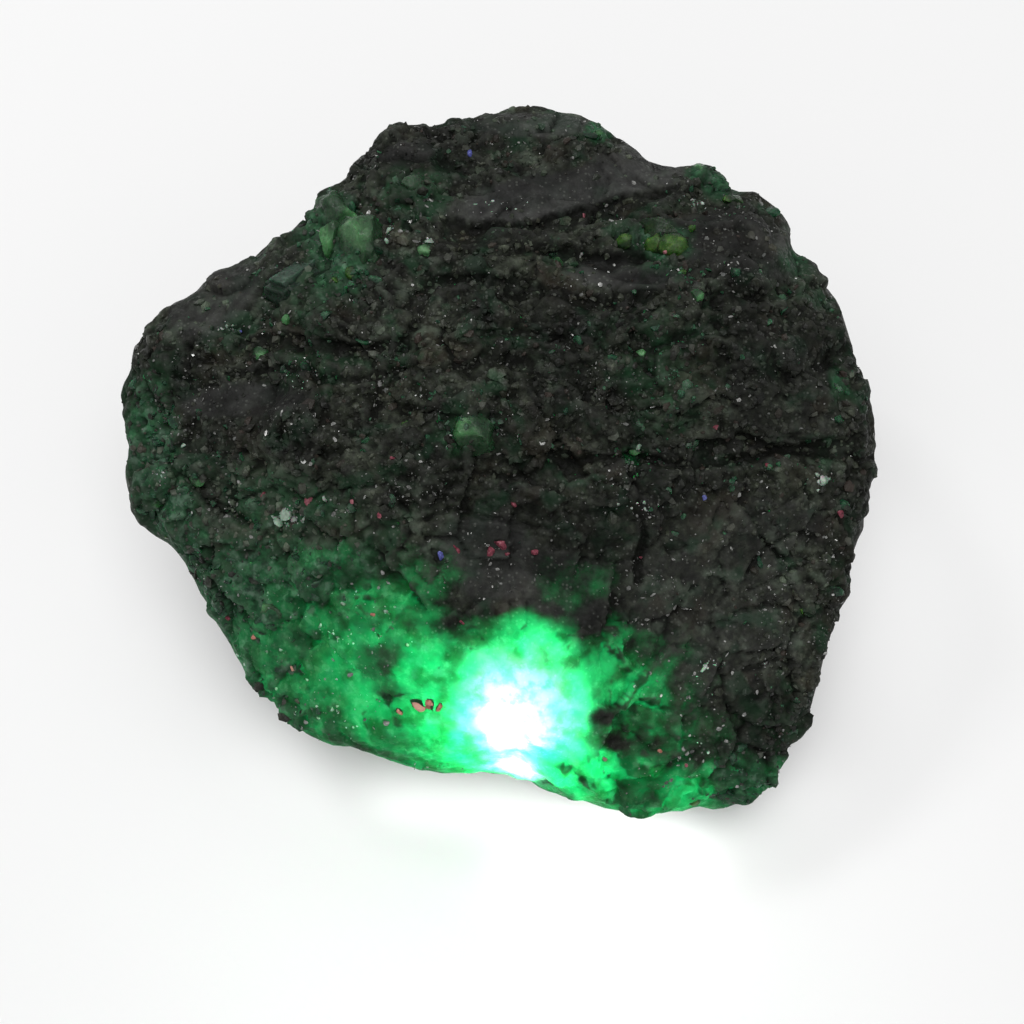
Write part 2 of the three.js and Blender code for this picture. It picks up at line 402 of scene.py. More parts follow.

# %% [markdown]
# Ledges are where a layer of the schist ends and the next one lies deeper. Below its edge the stone
# drops back at once and then comes slowly forward again.

# %% Ledges drawn as lines
# Each ledge: how far the stone drops below its edge, over what height it comes back, and the edge.
LEDGES = [
    (1.3, 3.0, [(-6.5, 28.6), (-5.3, 28.3), (1.5, 27.9), (3.9, 28.7), (8.5, 30.1), (13.3, 31.2)]),
    (1.0, 3.0, [(12.3, 31.0), (15.5, 31.7), (18.3, 31.8)]),
    (0.8, 2.6, [(-8.5, 22.8), (-3.0, 23.2), (2.0, 22.4)]),
    (0.9, 3.2, [(4.5, 21.6), (9.5, 21.2), (14.8, 22.0)]),
    (0.9, 3.0, [(-27.0, 16.9), (-21.5, 17.6), (-15.5, 16.4), (-9.5, 17.2)]),
    (0.8, 3.0, [(16.8, 6.6), (22.0, 7.6), (27.0, 6.6), (33.0, 7.4)]),
    (0.4, 2.6, [(-6.4, 0.6), (-1.5, 1.4), (4.5, 0.2), (10.5, 0.8)]),
]


def ledges(seen, shake):
    """How far the stone is set back below each ledge's edge, in mm."""
    deepest = np.zeros(len(seen))
    shaken = seen + shake
    for drop, height, edge in LEDGES:
        rights, ups = np.array(edge).T
        below = np.interp(shaken[:, 0], rights, ups) - shaken[:, 1]
        within = ramp(shaken[:, 0], rights[0] - 0.6, rights[0] + 1.2)
        within *= ramp(shaken[:, 0], rights[-1] + 0.6, rights[-1] - 1.2)
        step_back = ramp(below, -0.1, 0.45) * ramp(below, height, 0.6)
        deepest = np.maximum(deepest, drop * within * step_back)
    return deepest


print(len(LEDGES), "ledges, the deepest", max(drop for drop, _, _ in LEDGES), "mm")

# %% [markdown]
# All of it is added up in two sums, because coarse and fine relief are limited apart: otherwise the
# bottom of a deep ledge would lose its crumbs. Smooth layers get little of either. Where the torch
# shines through, both are held back, because a deep pit would stand dark in the way of the light.

# %% The relief added up
LIT_MIDDLE = (-4.0, -18.0)
LIT_HALF_LENGTH = 16.0
LIT_HALF_HEIGHT = 11.0


def shaking(points):
    """How far the drawn cracks and ledges wander at each point, right and up, in mm."""
    return 0.55 * np.stack([rough_noise(points, 2.4, 31), rough_noise(points, 2.4, 41)], axis=-1)


rough = 1 - calm
shake = shaking(skin)
crack_depth = cracks(seen, shake) * in_sight
coarseness = 0.55 + 0.45 * ramp(rough_noise(skin, 9, 51), -0.35, 0.35)
high_up = ramp(skin @ UP_FACE - AIM @ UP_FACE, -4, 12)
away = 1 - in_sight
raised = 0.45 * rough_noise(skin, 5, 61)
raised += away * chips(skin, 11, 0.26, 81)
raised += (0.35 + 0.65 * rough) * chips(skin, 5.2, 0.30, 71)
raised += (0.12 + 0.30 * high_up + 0.20 * rough * high_up) * layer_steps(skin, 2.9, 111)
raised -= crack_depth
raised -= ledges(seen, shake) * in_sight
fine = rough * chips(skin, 2.4, 0.34, 91)
fine += rough * chips(skin, 1.2, 0.24, 191)
fine += 0.20 * rough * high_up * layer_steps(skin, 1.3, 121)
fine += 0.24 * rough * coarseness * crumbs(skin, 1.8, 131)
fine += 0.13 * (0.2 + 0.8 * rough) * coarseness * crumbs(skin, 0.95, 151)
fine -= (0.8 - 0.35 * away) * rough * ramp(rough_noise(skin, 2.2, 171, 2), 0.44, 0.74)
from_lit = seen - LIT_MIDDLE
lit_reach = np.hypot(from_lit[:, 0] / LIT_HALF_LENGTH, from_lit[:, 1] / LIT_HALF_HEIGHT)
lit = ramp(lit_reach, 1.05, 0.6) * in_sight
raised *= 1 - np.where(raised < 0, 0.85, 0.55) * lit
fine *= 1 - np.where(fine < 0, 0.80, 0.50) * lit
print("skin moved, mm:", np.round(np.percentile(raised + fine, [0, 5, 50, 95, 100]), 2))

# %% [markdown]
# The stone stands on a flat break. Points near the ground only move inwards, and nothing goes below it.

# %% Move the skin and keep the base flat
OUTWARD_MOST = 0.40
INWARD_MOST = 1.5
FINE_MOST = 0.6
RIM_HOLD = 0.6
outline_hold = 1 - RIM_HOLD * ramp(np.abs(facing @ OUT), 0.35, 0.0)
most = np.where(raised > 0, OUTWARD_MOST, INWARD_MOST)
moved = (most * np.tanh(raised / most) + FINE_MOST * np.tanh(fine / FINE_MOST)) * outline_hold
at_outline = ramp(np.abs(facing @ OUT), 0.55, 0.15)
moved += (relaxed(moved[:, None], 8)[:, 0] - moved) * at_outline
on_base = ramp(-facing[:, 2], 0.6, 0.95) * ramp(skin[:, 2], 1.2, 0.3)
moved = np.where(on_base > 0, np.minimum(moved, 0) * (1 - 0.5 * on_base), moved)
steady = relaxed(facing, 3)
steady /= np.linalg.norm(steady, axis=1, keepdims=True)
rough_skin = skin + steady * moved[:, None]
rough_skin[:, 2] = np.maximum(rough_skin[:, 2], 0)
place_points(net, rough_skin)
print("lump now, mm:", np.round(np.ptp(rough_skin, axis=0), 2))

# %% [markdown]
# ## Fewer faces where they aren't needed
# The broad face shows the minerals, so it keeps the finest net. The back and the base are thinned a
# little with a Decimate modifier that is steered by a vertex group, which keeps the whole mesh light.

# %% Thin the back and the base
MOST_FACES = 196_000
behind = stone.vertex_groups.new(name="behind")
hidden = ramp(in_sight, 0.6, 0.1)
for level in range(1, 5):
    chosen = np.nonzero(np.round(hidden * 4) == level)[0]
    behind.add(chosen.tolist(), level / 4, "REPLACE")
triangles = 2 * len(net.polygons)
net = baked_by(
    stone,
    "DECIMATE",
    ratio=MOST_FACES / triangles,
    vertex_group="behind",
    vertex_group_factor=1.0,
    use_collapse_triangulate=True,
)
stone.vertex_groups.clear()
net.name = "emerald_stone"
net.polygons.foreach_set("use_smooth", [True] * len(net.polygons))
print("triangles:", triangles, "before,", len(net.polygons), "after")

# %% [markdown]
# ## What shows where
# The materials need to know more than a place: whether the surface lies in a hollow or on a ridge,
# whether it is a smooth layer, and how much emerald is in it. Each of these is a number per point,
# kept on the mesh as an attribute. The emerald runs through the stone in a broad band along its lower
# left and lower edge, in a few patches on the left, and in scattered spots everywhere else.

# %% Emerald, dark islands and pale ground, drawn as patches
# Each patch of emerald: right, up, half length, half height, turn in degrees, strength.
EMERALD_PATCHES = [
    (-22.5, -12.5, 9.5, 7.5, -35, 1.15),
    (-12.0, -16.8, 11.5, 7.0, -10, 1.2),
    (1.0, -20.5, 6.5, 6.5, 0, 1.1),
    (10.5, -18.0, 7.5, 7.0, 0, 0.62),
    (9.5, -26.0, 7.0, 3.4, -10, 1.2),
    (19.5, -27.0, 8.5, 3.0, 6, 1.5),
    (15.0, -21.5, 6.0, 3.6, 10, 0.45),
    (-20.0, -6.5, 12.0, 5.0, -5, 0.74),
    (-21.5, 0.5, 9.0, 4.0, -8, 0.50),
    (-35.0, 7.0, 3.2, 6.5, 0, 0.75),
    (-33.0, 0.5, 4.0, 3.8, 0, 0.8),
    (-30.5, -4.5, 4.5, 3.2, -30, 0.8),
    (-22.0, -0.5, 6.0, 1.8, 0, 0.6),
    (-14.5, -8.5, 8.5, 3.6, -8, 0.85),
    (6.5, -7.0, 4.2, 2.6, 10, 0.35),
    (14.5, 14.0, 5.0, 6.0, 0, 0.42),
    (-19.0, 21.5, 5.0, 3.5, 0, 0.40),
    (-17.5, 25.5, 3.6, 5.0, 0, 0.75),
    (-9.5, 30.5, 3.0, 3.0, 0, 0.5),
    (-4.5, 7.5, 3.0, 2.2, 20, 0.75),
    (13.8, 25.6, 3.4, 2.2, 0, 0.75),
    (19.6, 32.0, 2.6, 2.0, -20, 0.7),
    (12.0, 5.5, 1.6, 1.0, 0, 0.6),
    (31.5, 12.5, 0.9, 1.8, 10, 0.75),
    (8.5, 36.5, 1.5, 1.2, 0, 0.9),
    (18.6, 32.6, 2.2, 1.4, -20, 0.8),
    (27.5, 24.5, 1.5, 2.5, 20, 0.6),
]
# Islands of dark rock inside the emerald: the same six numbers again.
ROCK_ISLANDS = [
    (-12.9, -14.4, 2.8, 1.6, 35, 0.60),
    (-11.9, -17.0, 2.0, 1.0, -20, 0.50),
    (9.0, -19.6, 2.0, 1.1, 10, 0.70),
    (11.5, -22.4, 3.0, 1.2, -20, 0.55),
    (-20.5, -13.0, 2.2, 1.2, 0, 0.40),
]
# Where the torch shines through: the whitest place, the middle of the green round it, and the lip.
EMERALD_HEART = (0.4, -19.2)
GLOW_MIDDLE = (-0.9, -20.7)
GLOWING_LIP = (0.6, -24.6)
# Lighter, greyish ground: the same six numbers again.
PALE_PATCHES = [
    (-23.0, -1.5, 10.0, 6.5, -10, 1.2),
    (-13.0, -2.0, 7.0, 6.5, -20, 0.7),
    (-14.5, 22.0, 6.5, 4.0, -10, 0.7),
    (-1.5, 32.5, 7.0, 3.2, 5, 0.5),
    (2.0, 38.0, 7.0, 2.2, 0, 0.9),
    (-29.0, 21.0, 6.5, 3.6, 38, 1.0),
    (26.0, -8.5, 3.6, 6.0, 0, 0.55),
    (14.0, -11.0, 5.0, 6.0, 0, 0.35),
    (-32.0, 0.0, 5.0, 9.0, 0, 1.0),
    (18.0, 8.5, 5.0, 2.2, 0, 0.4),
    (6.5, 30.3, 10.0, 2.0, 12, 0.5),
]
print(len(EMERALD_PATCHES), "emerald,", len(ROCK_ISLANDS), "dark and", len(PALE_PATCHES), "pale patches")

# %% [markdown]
# The patches say what grows where on the face. Behind it the same minerals come by chance, from noise.
# A sight line from the camera through a place on the face finds the point of the stone that lies there.

# %% What each point is made of
def ray_to_face(tree, right, up):
    """Where the sight line through right and up, in mm, meets the stone, and the way it faces there."""
    through = AIM + RIGHT * right + UP_FACE * up
    hit = tree.ray_cast(Vector(EYE * MM), Vector(through - EYE).normalized())
    if hit[0] is None:
        return None
    return np.array(hit[0]) / MM, np.array(hit[1])


def rock_islands(points):
    """How far each point belongs to an island of dark rock, with a torn outline."""
    torn = 0.55 * rough_noise(points, 2.2, 291) + 0.45 * rough_noise(points, 0.9, 295)
    return patches(seen_from_front(points), ROCK_ISLANDS, torn, 1.5, 0.5)


def stone_numbers(points, normals):
    """How smooth, how rich in emerald, how pale and how cracked the stone is at each point."""
    seen = seen_from_front(points)
    in_sight = ramp(towards_us(points, normals), -0.05, 0.15)
    calm = smooth_layers(points, in_sight)
    ragged = 0.5 * rough_noise(points, 4.5, 211) + 0.25 * rough_noise(points, 1.3, 221)
    round_lip = ramp(towards_us(points, normals), -0.60, 0.0)
    by_hand = patches(seen, EMERALD_PATCHES, ragged, 1.55, 0.35) * round_lip
    by_hand *= 1 - rock_islands(points) * in_sight
    by_chance = 0.8 * ramp(rough_noise(points, 9, 231), 0.15, 0.50)
    by_chance *= (1 - 0.6 * calm) * (1 - 0.6 * in_sight)
    shake = shaking(points)
    pale_front = patches(seen, PALE_PATCHES, ragged, 1.6, 0.3)
    pale_round = ramp(rough_noise(points, 11, 271), -0.05, 0.35)
    pale = pale_front * in_sight + pale_round * (1 - in_sight)
    split = np.maximum(cracks(seen, shake), 0.75 * ledges(seen, shake)) * in_sight
    return calm, np.maximum(by_hand, by_chance), pale, split


def keep_on_mesh(mesh, name, values):
    """Stores one number per point on the mesh, for the materials to read."""
    attribute = mesh.attributes.new(name, "FLOAT", "POINT")
    attribute.data.foreach_set("value", values.astype(np.float32))


surface = point_array(net)
facing = normal_array(net)
stone_tree = BVHTree.FromObject(stone, bpy.context.evaluated_depsgraph_get())
calm, emerald, pale, crack_depth = stone_numbers(surface, facing)
print(f"emerald in {np.mean(emerald > 0.5):.0%} of the surface, before the lit core is added")

# %% [markdown]
# Light only comes through where there is emerald, and where the stone is thin enough. `clear` says how
# far it gets, fading from the heart of the glow outwards. `thin` marks the core and a spot on the lip
# below it, where the stone is thin and the light let through is painted nearly white, as the torch's glare.

# %% Where light comes through
heart, _ = ray_to_face(stone_tree, *EMERALD_HEART)
from_heart = np.linalg.norm(surface - heart, axis=1)
aside = seen_from_front(surface) - GLOW_MIDDLE
reach = np.linalg.norm(aside, axis=1) + 2.6 * rough_noise(surface, 4.5, 261)
lit_core = 1.6 * ramp(np.maximum(reach, from_heart * 0.8), 13.0, 5.0)
emerald = np.maximum(emerald, lit_core * (1 - rock_islands(surface)))
shine_gap = from_heart + 1.6 * rough_noise(surface, 4.5, 241) + 1.4 * rough_noise(surface, 1.6, 251)
turned_to_us = ramp(towards_us(surface, facing), -0.4, 0.1)
clear = ramp(shine_gap, 34, 12) * (0.4 + 0.6 * turned_to_us)
lip, _ = ray_to_face(stone_tree, *GLOWING_LIP)
from_lip = np.linalg.norm(surface - lip, axis=1) + 0.5 * rough_noise(surface, 1.4, 281)
# Painted glare: the light let through turns nearly white at the core and on the lip, where the stone is thin.
thin_glare_core = np.exp(-((np.abs(shine_gap) / 4.8) ** 3))
thin_glare_lip = 0.95 * np.exp(-((from_lip / 2.4) ** 2))
thin = np.maximum(thin_glare_core, thin_glare_lip)
print(f"light gets through {np.mean(clear > 0.3):.0%} of the surface")

# %% [markdown]
# Hollows, cracks and the ground below ledges get painted shade, and ridges are made lighter. A point
# lies in a hollow if it is below the mean of its surroundings, and on a ridge if it is above it. The
# same averaging, carried on for longer, gives the broad direction of the surface, without its bumps.

# %% Hollows and ridges
links = edge_links(net)
sunk = np.einsum("ij,ij->i", relaxed(surface, 12) - surface, facing)
sunk_wide = np.einsum("ij,ij->i", relaxed(surface, 70) - surface, facing)
# Where the colour gets painted shade: small and broad hollows, cracks, and the ground below ledges.
hollow = np.maximum(ramp(sunk, 0.04, 0.30), 0.9 * ramp(sunk_wide, 0.10, 0.55))
hollow = np.maximum(hollow, ramp(crack_depth, 0.15, 0.6))
ridge = ramp(sunk, -0.02, -0.22)
kept = {
    "calm": calm, "emerald": emerald, "pale": pale, "clear": clear, "thin": thin,
    "hollow": hollow, "ridge": ridge,
}
for name, values in kept.items():
    keep_on_mesh(net, name, values)
broad_way = relaxed(facing, 30)
broad_way /= np.linalg.norm(broad_way, axis=1, keepdims=True)
attribute = net.attributes.new("broad_way", "FLOAT_VECTOR", "POINT")
attribute.data.foreach_set("vector", broad_way.astype(np.float32).ravel())
print(f"emerald in {np.mean(emerald > 0.5):.0%} of the surface, hollows in {np.mean(hollow > 0.5):.0%}")

# %% [markdown]
# ## Materials: small helpers
# A material is a graph of nodes, and a few helpers keep the graphs readable. The first adds a node and
# fills its inputs, with plain values or with other nodes' outputs. The others mix two colours, stretch a
# range of values, do a sum, lay on noise or bumps, and make or place a group of nodes.


# %% Node helpers
def add(tree, kind, inputs=None, **settings):
    """A new node with its options set and its inputs filled."""
    node = tree.nodes.new(kind)
    for key, value in settings.items():
        setattr(node, key, value)
    for name, value in (inputs or {}).items():
        if isinstance(value, bpy.types.NodeSocket):
            tree.links.new(value, node.inputs[name])
        else:
            node.inputs[name].default_value = value
    return node


def mixed(tree, factor, first, second, blend_type="MIX"):
    """The colour between first and second."""
    inputs = {0: factor, 6: first, 7: second}
    return add(tree, "ShaderNodeMix", inputs, data_type="RGBA", blend_type=blend_type).outputs[2]


def stretched(tree, value, low, high, new_low=0.0, new_high=1.0):
    """A value's range from low to high, moved to a new range and clipped to it."""
    inputs = {"Value": value, "From Min": low, "From Max": high, "To Min": new_low, "To Max": new_high}
    return add(tree, "ShaderNodeMapRange", inputs, interpolation_type="SMOOTHSTEP").outputs[0]


def calc(tree, operation, *values):
    """A sum done by a Math node."""
    return add(tree, "ShaderNodeMath", dict(enumerate(values)), operation=operation).outputs[0]


def noise_at(tree, place, size, detail=2.0):
    """Plain noise from 0 to 1 with lumps of that size in mm."""
    inputs = {"Vector": place, "Scale": 1 / (size * MM), "Detail": detail}
    return add(tree, "ShaderNodeTexNoise", inputs).outputs["Fac"]


def bumped(tree, height, strength, depth):
    """The way the surface faces once bumps of that depth, in mm, are laid on it."""
    inputs = {"Height": height, "Strength": strength, "Distance": depth * MM}
    return add(tree, "ShaderNodeBump", inputs).outputs[0]


def new_group(name, inputs, outputs):
    """A shader node group with named sockets: returns its tree, input node and output node."""
    tree = bpy.data.node_groups.new(name, "ShaderNodeTree")
    for in_out, sockets in (("INPUT", inputs), ("OUTPUT", outputs)):
        for socket_name, kind in sockets.items():
            tree.interface.new_socket(socket_name, in_out=in_out, socket_type="NodeSocket" + kind)
    return tree, tree.nodes.new("NodeGroupInput").outputs, tree.nodes.new("NodeGroupOutput")


def use_group(tree, group, **inputs):
    """Places a group in a material. Inputs are named in lower case, with _ for a space."""
    node = add(tree, "ShaderNodeGroup", node_tree=group)
    for name, value in inputs.items():
        socket = node.inputs[name.replace("_", " ").capitalize()]
        if isinstance(value, bpy.types.NodeSocket):
            tree.links.new(value, socket)
        else:
            socket.default_value = value
    return node.outputs


def number_of(tree, name):
    """The value of a mesh attribute."""
    return add(tree, "ShaderNodeAttribute", attribute_name=name).outputs["Fac"]


# %% [markdown]
# ## The effects that make up the minerals
# `mottle` spreads three tones of a mineral in blotches of a given size. `grain` is the fine roughness
# that is too small for the mesh, below a third of a millimetre: it gives a height for bump and the
# mask of single grains. A third group paints shade into hollows, cracks and below ledges, and makes
# ridges lighter. `rock_colour` puts mottle and grain together into the schist's own colour, for the
# stone and for the crumbs on it. Object coordinates are in metres, so a size in mm is turned by MM.

# %% Mottle
COLOUR, NUMBER, PLACE = "Color", "Float", "Vector"

mottle, given, out = new_group(
    "mottle",
    {"Place": PLACE, "Size": NUMBER, "Dark": COLOUR, "Middle": COLOUR, "Light": COLOUR},
    {"Color": COLOUR},
)
scale = calc(mottle, "DIVIDE", 1.0, given["Size"])
blotches = add(
    mottle, "ShaderNodeTexNoise",
    {"Vector": given["Place"], "Scale": scale, "Detail": 4.0, "Roughness": 0.62},
)
tone = blotches.outputs["Fac"]
lower = mixed(mottle, stretched(mottle, tone, 0.34, 0.52), given["Dark"], given["Middle"])
whole = mixed(mottle, stretched(mottle, tone, 0.52, 0.70), lower, given["Light"])
mottle.links.new(whole, out.inputs["Color"])
print("mottle has", len(mottle.nodes), "nodes")

# %% Grain
grain, given, out = new_group(
    "grain", {"Place": PLACE, "Size": NUMBER}, {"Height": NUMBER, "Speck": NUMBER, "Number": NUMBER}
)
scale = calc(grain, "DIVIDE", 1.0, given["Size"])
packed = add(grain, "ShaderNodeTexVoronoi", {"Vector": given["Place"], "Scale": scale})
fuzz = add(
    grain, "ShaderNodeTexNoise",
    {"Vector": given["Place"], "Scale": calc(grain, "MULTIPLY", scale, 1.7),
     "Detail": 5.0, "Roughness": 0.7},
)
domes = calc(grain, "SUBTRACT", 0.8, packed.outputs["Distance"])
grain.links.new(calc(grain, "ADD", domes, fuzz.outputs["Fac"]), out.inputs["Height"])
own_number = add(grain, "ShaderNodeSeparateColor", {"Color": packed.outputs["Color"]})
grain.links.new(own_number.outputs["Green"], out.inputs["Number"])
near_middle = stretched(grain, packed.outputs["Distance"], 0.45, 0.25)
rare = stretched(grain, own_number.outputs["Red"], 0.80, 0.86)
grain.links.new(calc(grain, "MULTIPLY", near_middle, rare), out.inputs["Speck"])
print("grain has", len(grain.nodes), "nodes")

# %% Painted shade in hollows, lighter ridges
painted_shade_lift, given, out = new_group(
    "painted_shade_lift", {"Color": COLOUR, "Hollow": NUMBER, "Ridge": NUMBER, "Lift": NUMBER}, {"Color": COLOUR}
)
# Painted shade: hollows, cracks and the ground below ledges are darkened towards near black.
painted_shade_share = calc(painted_shade_lift, "MULTIPLY", given["Hollow"], 0.80)
painted_shade_colour = mixed(painted_shade_lift, painted_shade_share, given["Color"], (0.0035, 0.0037, 0.003, 1))
# Ridges are made lighter.
ridge_lightening = calc(painted_shade_lift, "MULTIPLY", given["Ridge"], given["Lift"])
lifted = mixed(painted_shade_lift, ridge_lightening, painted_shade_colour, (0.16, 0.16, 0.15, 1))
painted_shade_lift.links.new(lifted, out.inputs["Color"])
print("wear has", len(painted_shade_lift.nodes), "nodes")

# %% [markdown]
# Schist is dark, but never one colour: blotches of a few millimetres, single crystals half a millimetre
# across, brown and green stains, and paler ground. Its smooth layers are greyer and more even.

# %% The schist's own colour
rock_colour, given, out = new_group(
    "rock_colour", {"Place": PLACE, "Calm": NUMBER, "Pale": NUMBER}, {"Color": COLOUR}
)
place = given["Place"]
rock = use_group(
    rock_colour, mottle, place=place, size=2.6 * MM,
    dark=(0.0050, 0.0056, 0.0040, 1), middle=(0.0135, 0.0160, 0.0112, 1), light=(0.032, 0.037, 0.028, 1),
)["Color"]
fine_rock = use_group(
    rock_colour, mottle, place=place, size=0.55 * MM,
    dark=(0.60, 0.60, 0.60, 1), middle=(0.97, 0.97, 0.97, 1), light=(1.5, 1.5, 1.47, 1),
)["Color"]
rock = mixed(rock_colour, 1.0, rock, fine_rock, "MULTIPLY")
crystals = use_group(rock_colour, grain, place=place, size=0.55 * MM)["Number"]
crystal_shade = mixed(rock_colour, crystals, (0.60, 0.60, 0.60, 1), (1.45, 1.45, 1.42, 1))
rock = mixed(rock_colour, 1.0, rock, crystal_shade, "MULTIPLY")
more_pale = calc(rock_colour, "MULTIPLY", given["Pale"], 0.16)
pale_noise = calc(rock_colour, "ADD", noise_at(rock_colour, place, 1.9, 5.0), more_pale)
pale_share = stretched(rock_colour, pale_noise, 0.56, 0.76, 0, 0.7)
rock = mixed(rock_colour, pale_share, rock, (0.060, 0.078, 0.057, 1))
brown = stretched(rock_colour, noise_at(rock_colour, place, 5.0), 0.54, 0.68, 0, 0.35)
rock = mixed(rock_colour, brown, rock, (0.028, 0.021, 0.014, 1))
green_stain = stretched(rock_colour, noise_at(rock_colour, place, 3.4, 4.0), 0.52, 0.66, 0, 0.6)
rock = mixed(rock_colour, green_stain, rock, (0.006, 0.028, 0.012, 1))
silky = use_group(
    rock_colour, mottle, place=place, size=1.6 * MM,
    dark=(0.0178, 0.0172, 0.0174, 1), middle=(0.0290, 0.0292, 0.0285, 1), light=(0.048, 0.049, 0.047, 1),
)["Color"]
calm_share = calc(rock_colour, "MULTIPLY", calc(rock_colour, "POWER", given["Calm"], 1.6), 0.85)
rock = mixed(rock_colour, calm_share, rock, silky)
broad = stretched(rock_colour, noise_at(rock_colour, place, 8.0, 3.0), 0.35, 0.65)
broad = calc(rock_colour, "ADD", broad, calc(rock_colour, "MULTIPLY", given["Pale"], 0.5))
shade = mixed(rock_colour, broad, (0.50, 0.50, 0.50, 1), (1.40, 1.40, 1.40, 1))
rock_colour.links.new(mixed(rock_colour, 1.0, rock, shade, "MULTIPLY"), out.inputs["Color"])
print("groups:", [group.name for group in bpy.data.node_groups])

# %% [markdown]
# ## Mica schist with emerald in it
# The matrix is nearly black, a mix of dark mica and tourmaline, with brownish and purplish tints and a
# green stain near the emerald. It reflects little, because it is dull and dusty. Where the `emerald`
# attribute is high the same surface turns to granular green beryl. Beryl lets light through, so a
# Translucent shader is mixed in there: it shows light that comes from inside the stone. That light has
# wandered through the stone and reaches the skin from many sides, so small bumps hardly matter to it:
# the shader gets the broad direction of the surface, from the `broad_way` attribute.

# %% The stone's material, rock first
def new_material(name):
    """An empty material: returns it with its tree, its output node and its object coordinates."""
    material = bpy.data.materials.new(name)
    material.use_nodes = True
    tree = material.node_tree
    tree.nodes.clear()
    place = add(tree, "ShaderNodeTexCoord").outputs["Object"]
    return material, tree, tree.nodes.new("ShaderNodeOutputMaterial"), place


def finish_with(tree, output, inputs):
    """Makes one Principled shader with these inputs the whole surface."""
    shader = add(tree, "ShaderNodeBsdfPrincipled", inputs)
    tree.links.new(shader.outputs[0], output.inputs["Surface"])


schist, tree, output, place = new_material("schist_with_emerald")
calm_here = number_of(tree, "calm")
rock = use_group(tree, rock_colour, place=place, calm=calm_here, pale=number_of(tree, "pale"))["Color"]
emerald_near = number_of(tree, "emerald")
cloud = calc(tree, "SUBTRACT", noise_at(tree, place, 2.2, 5.0), 0.5)
stain = stretched(tree, calc(tree, "ADD", emerald_near, cloud), 0.05, 0.75, 0.0, 0.8)
rock = mixed(tree, stain, rock, (0.008, 0.032, 0.012, 1))
print("stained rock takes", len(tree.nodes), "nodes")

# %% Beryl in the stone's material
beryl = use_group(
    tree, mottle, place=place, size=1.7 * MM,
    dark=(0.006, 0.023, 0.012, 1), middle=(0.017, 0.070, 0.030, 1), light=(0.048, 0.14, 0.065, 1),
)["Color"]
paler_here = calc(tree, "MULTIPLY", number_of(tree, "pale"), 0.05)
cloudy = calc(tree, "ADD", noise_at(tree, place, 1.1, 5.0), paler_here)
beryl = mixed(tree, stretched(tree, cloudy, 0.52, 0.70, 0, 0.65), beryl, (0.095, 0.15, 0.11, 1))
crystals = use_group(tree, grain, place=place, size=0.7 * MM)["Number"]
crystal_shade = mixed(tree, crystals, (0.6, 0.6, 0.6, 1), (1.45, 1.45, 1.45, 1))
beryl = mixed(tree, 1.0, beryl, crystal_shade, "MULTIPLY")
ragged = calc(tree, "MULTIPLY", calc(tree, "SUBTRACT", noise_at(tree, place, 1.4, 5.0), 0.5), 1.3)
emerald_here = stretched(tree, calc(tree, "ADD", emerald_near, ragged), 0.32, 1.05)
colour = mixed(tree, emerald_here, rock, beryl)
print("with the beryl,", len(tree.nodes), "nodes")

# %% Painted glints, painted shade and dullness
small = use_group(tree, grain, place=place, size=0.34 * MM)
# Painted glints: rare small specks of the colour are made pale.
glint = calc(tree, "MULTIPLY", small["Speck"], 0.22)
colour = mixed(tree, glint, colour, (0.16, 0.17, 0.15, 1))
# Painted shade in hollows, cracks and below ledges, and lighter ridges.
colour = use_group(
    tree, painted_shade_lift, color=colour, hollow=number_of(tree, "hollow"), ridge=number_of(tree, "ridge"), lift=0.07
)["Color"]
dullness = stretched(tree, small["Number"], 0.0, 1.0, 0.45, 0.85)
bump = bumped(tree, small["Height"], 0.32, 0.14)
dull_stone = add(
    tree, "ShaderNodeBsdfPrincipled",
    {"Base Color": colour, "Roughness": dullness, "Specular IOR Level": 0.10, "Normal": bump},
)
print("with its surface,", len(tree.nodes), "nodes")

# %% [markdown]
# The light that comes through is green where the beryl is thick, milky along veins, and painted nearly
# white where the stone is thin, as the torch's glare. Its share of the material follows the emerald
# and the `clear` attribute.

# %% Light let through
veins = stretched(tree, noise_at(tree, place, 2.2, 8.0), 0.36, 0.60)
green_light = mixed(tree, veins, (0.0012, 0.13, 0.020, 1), (0.003, 0.30, 0.070, 1))
milky = stretched(tree, noise_at(tree, place, 1.3, 6.0), 0.55, 0.70, 0, 0.22)
green_light = mixed(tree, milky, green_light, (0.045, 0.32, 0.16, 1))
flecks = stretched(tree, noise_at(tree, place, 1.2, 9.0), 0.36, 0.60, 0.35, 1.0)
# Painted glare: where the stone is thin, the light let through is painted nearly white.
thin_glare_here = calc(tree, "MULTIPLY", number_of(tree, "thin"), flecks)
pale_light = mixed(tree, thin_glare_here, green_light, (0.15, 0.34, 0.29, 1))
own_way = add(tree, "ShaderNodeAttribute", attribute_name="broad_way").outputs["Vector"]
world_way = add(
    tree, "ShaderNodeVectorTransform", {"Vector": own_way},
    vector_type="NORMAL", convert_from="OBJECT", convert_to="WORLD",
)
let_through = add(tree, "ShaderNodeBsdfTranslucent", {"Color": pale_light, "Normal": world_way.outputs[0]})
richness = calc(tree, "ADD", emerald_near, calc(tree, "MULTIPLY", cloud, 0.8))
through = stretched(tree, richness, 0.15, 1.35, 0.0, 0.5)
clear_share = calc(tree, "MULTIPLY", through, number_of(tree, "clear"))
both = add(tree, "ShaderNodeMixShader", {0: clear_share, 1: dull_stone.outputs[0], 2: let_through.outputs[0]})
tree.links.new(both.outputs[0], output.inputs["Surface"])
net.materials.append(schist)
print("the stone's material has", len(tree.nodes), "nodes")

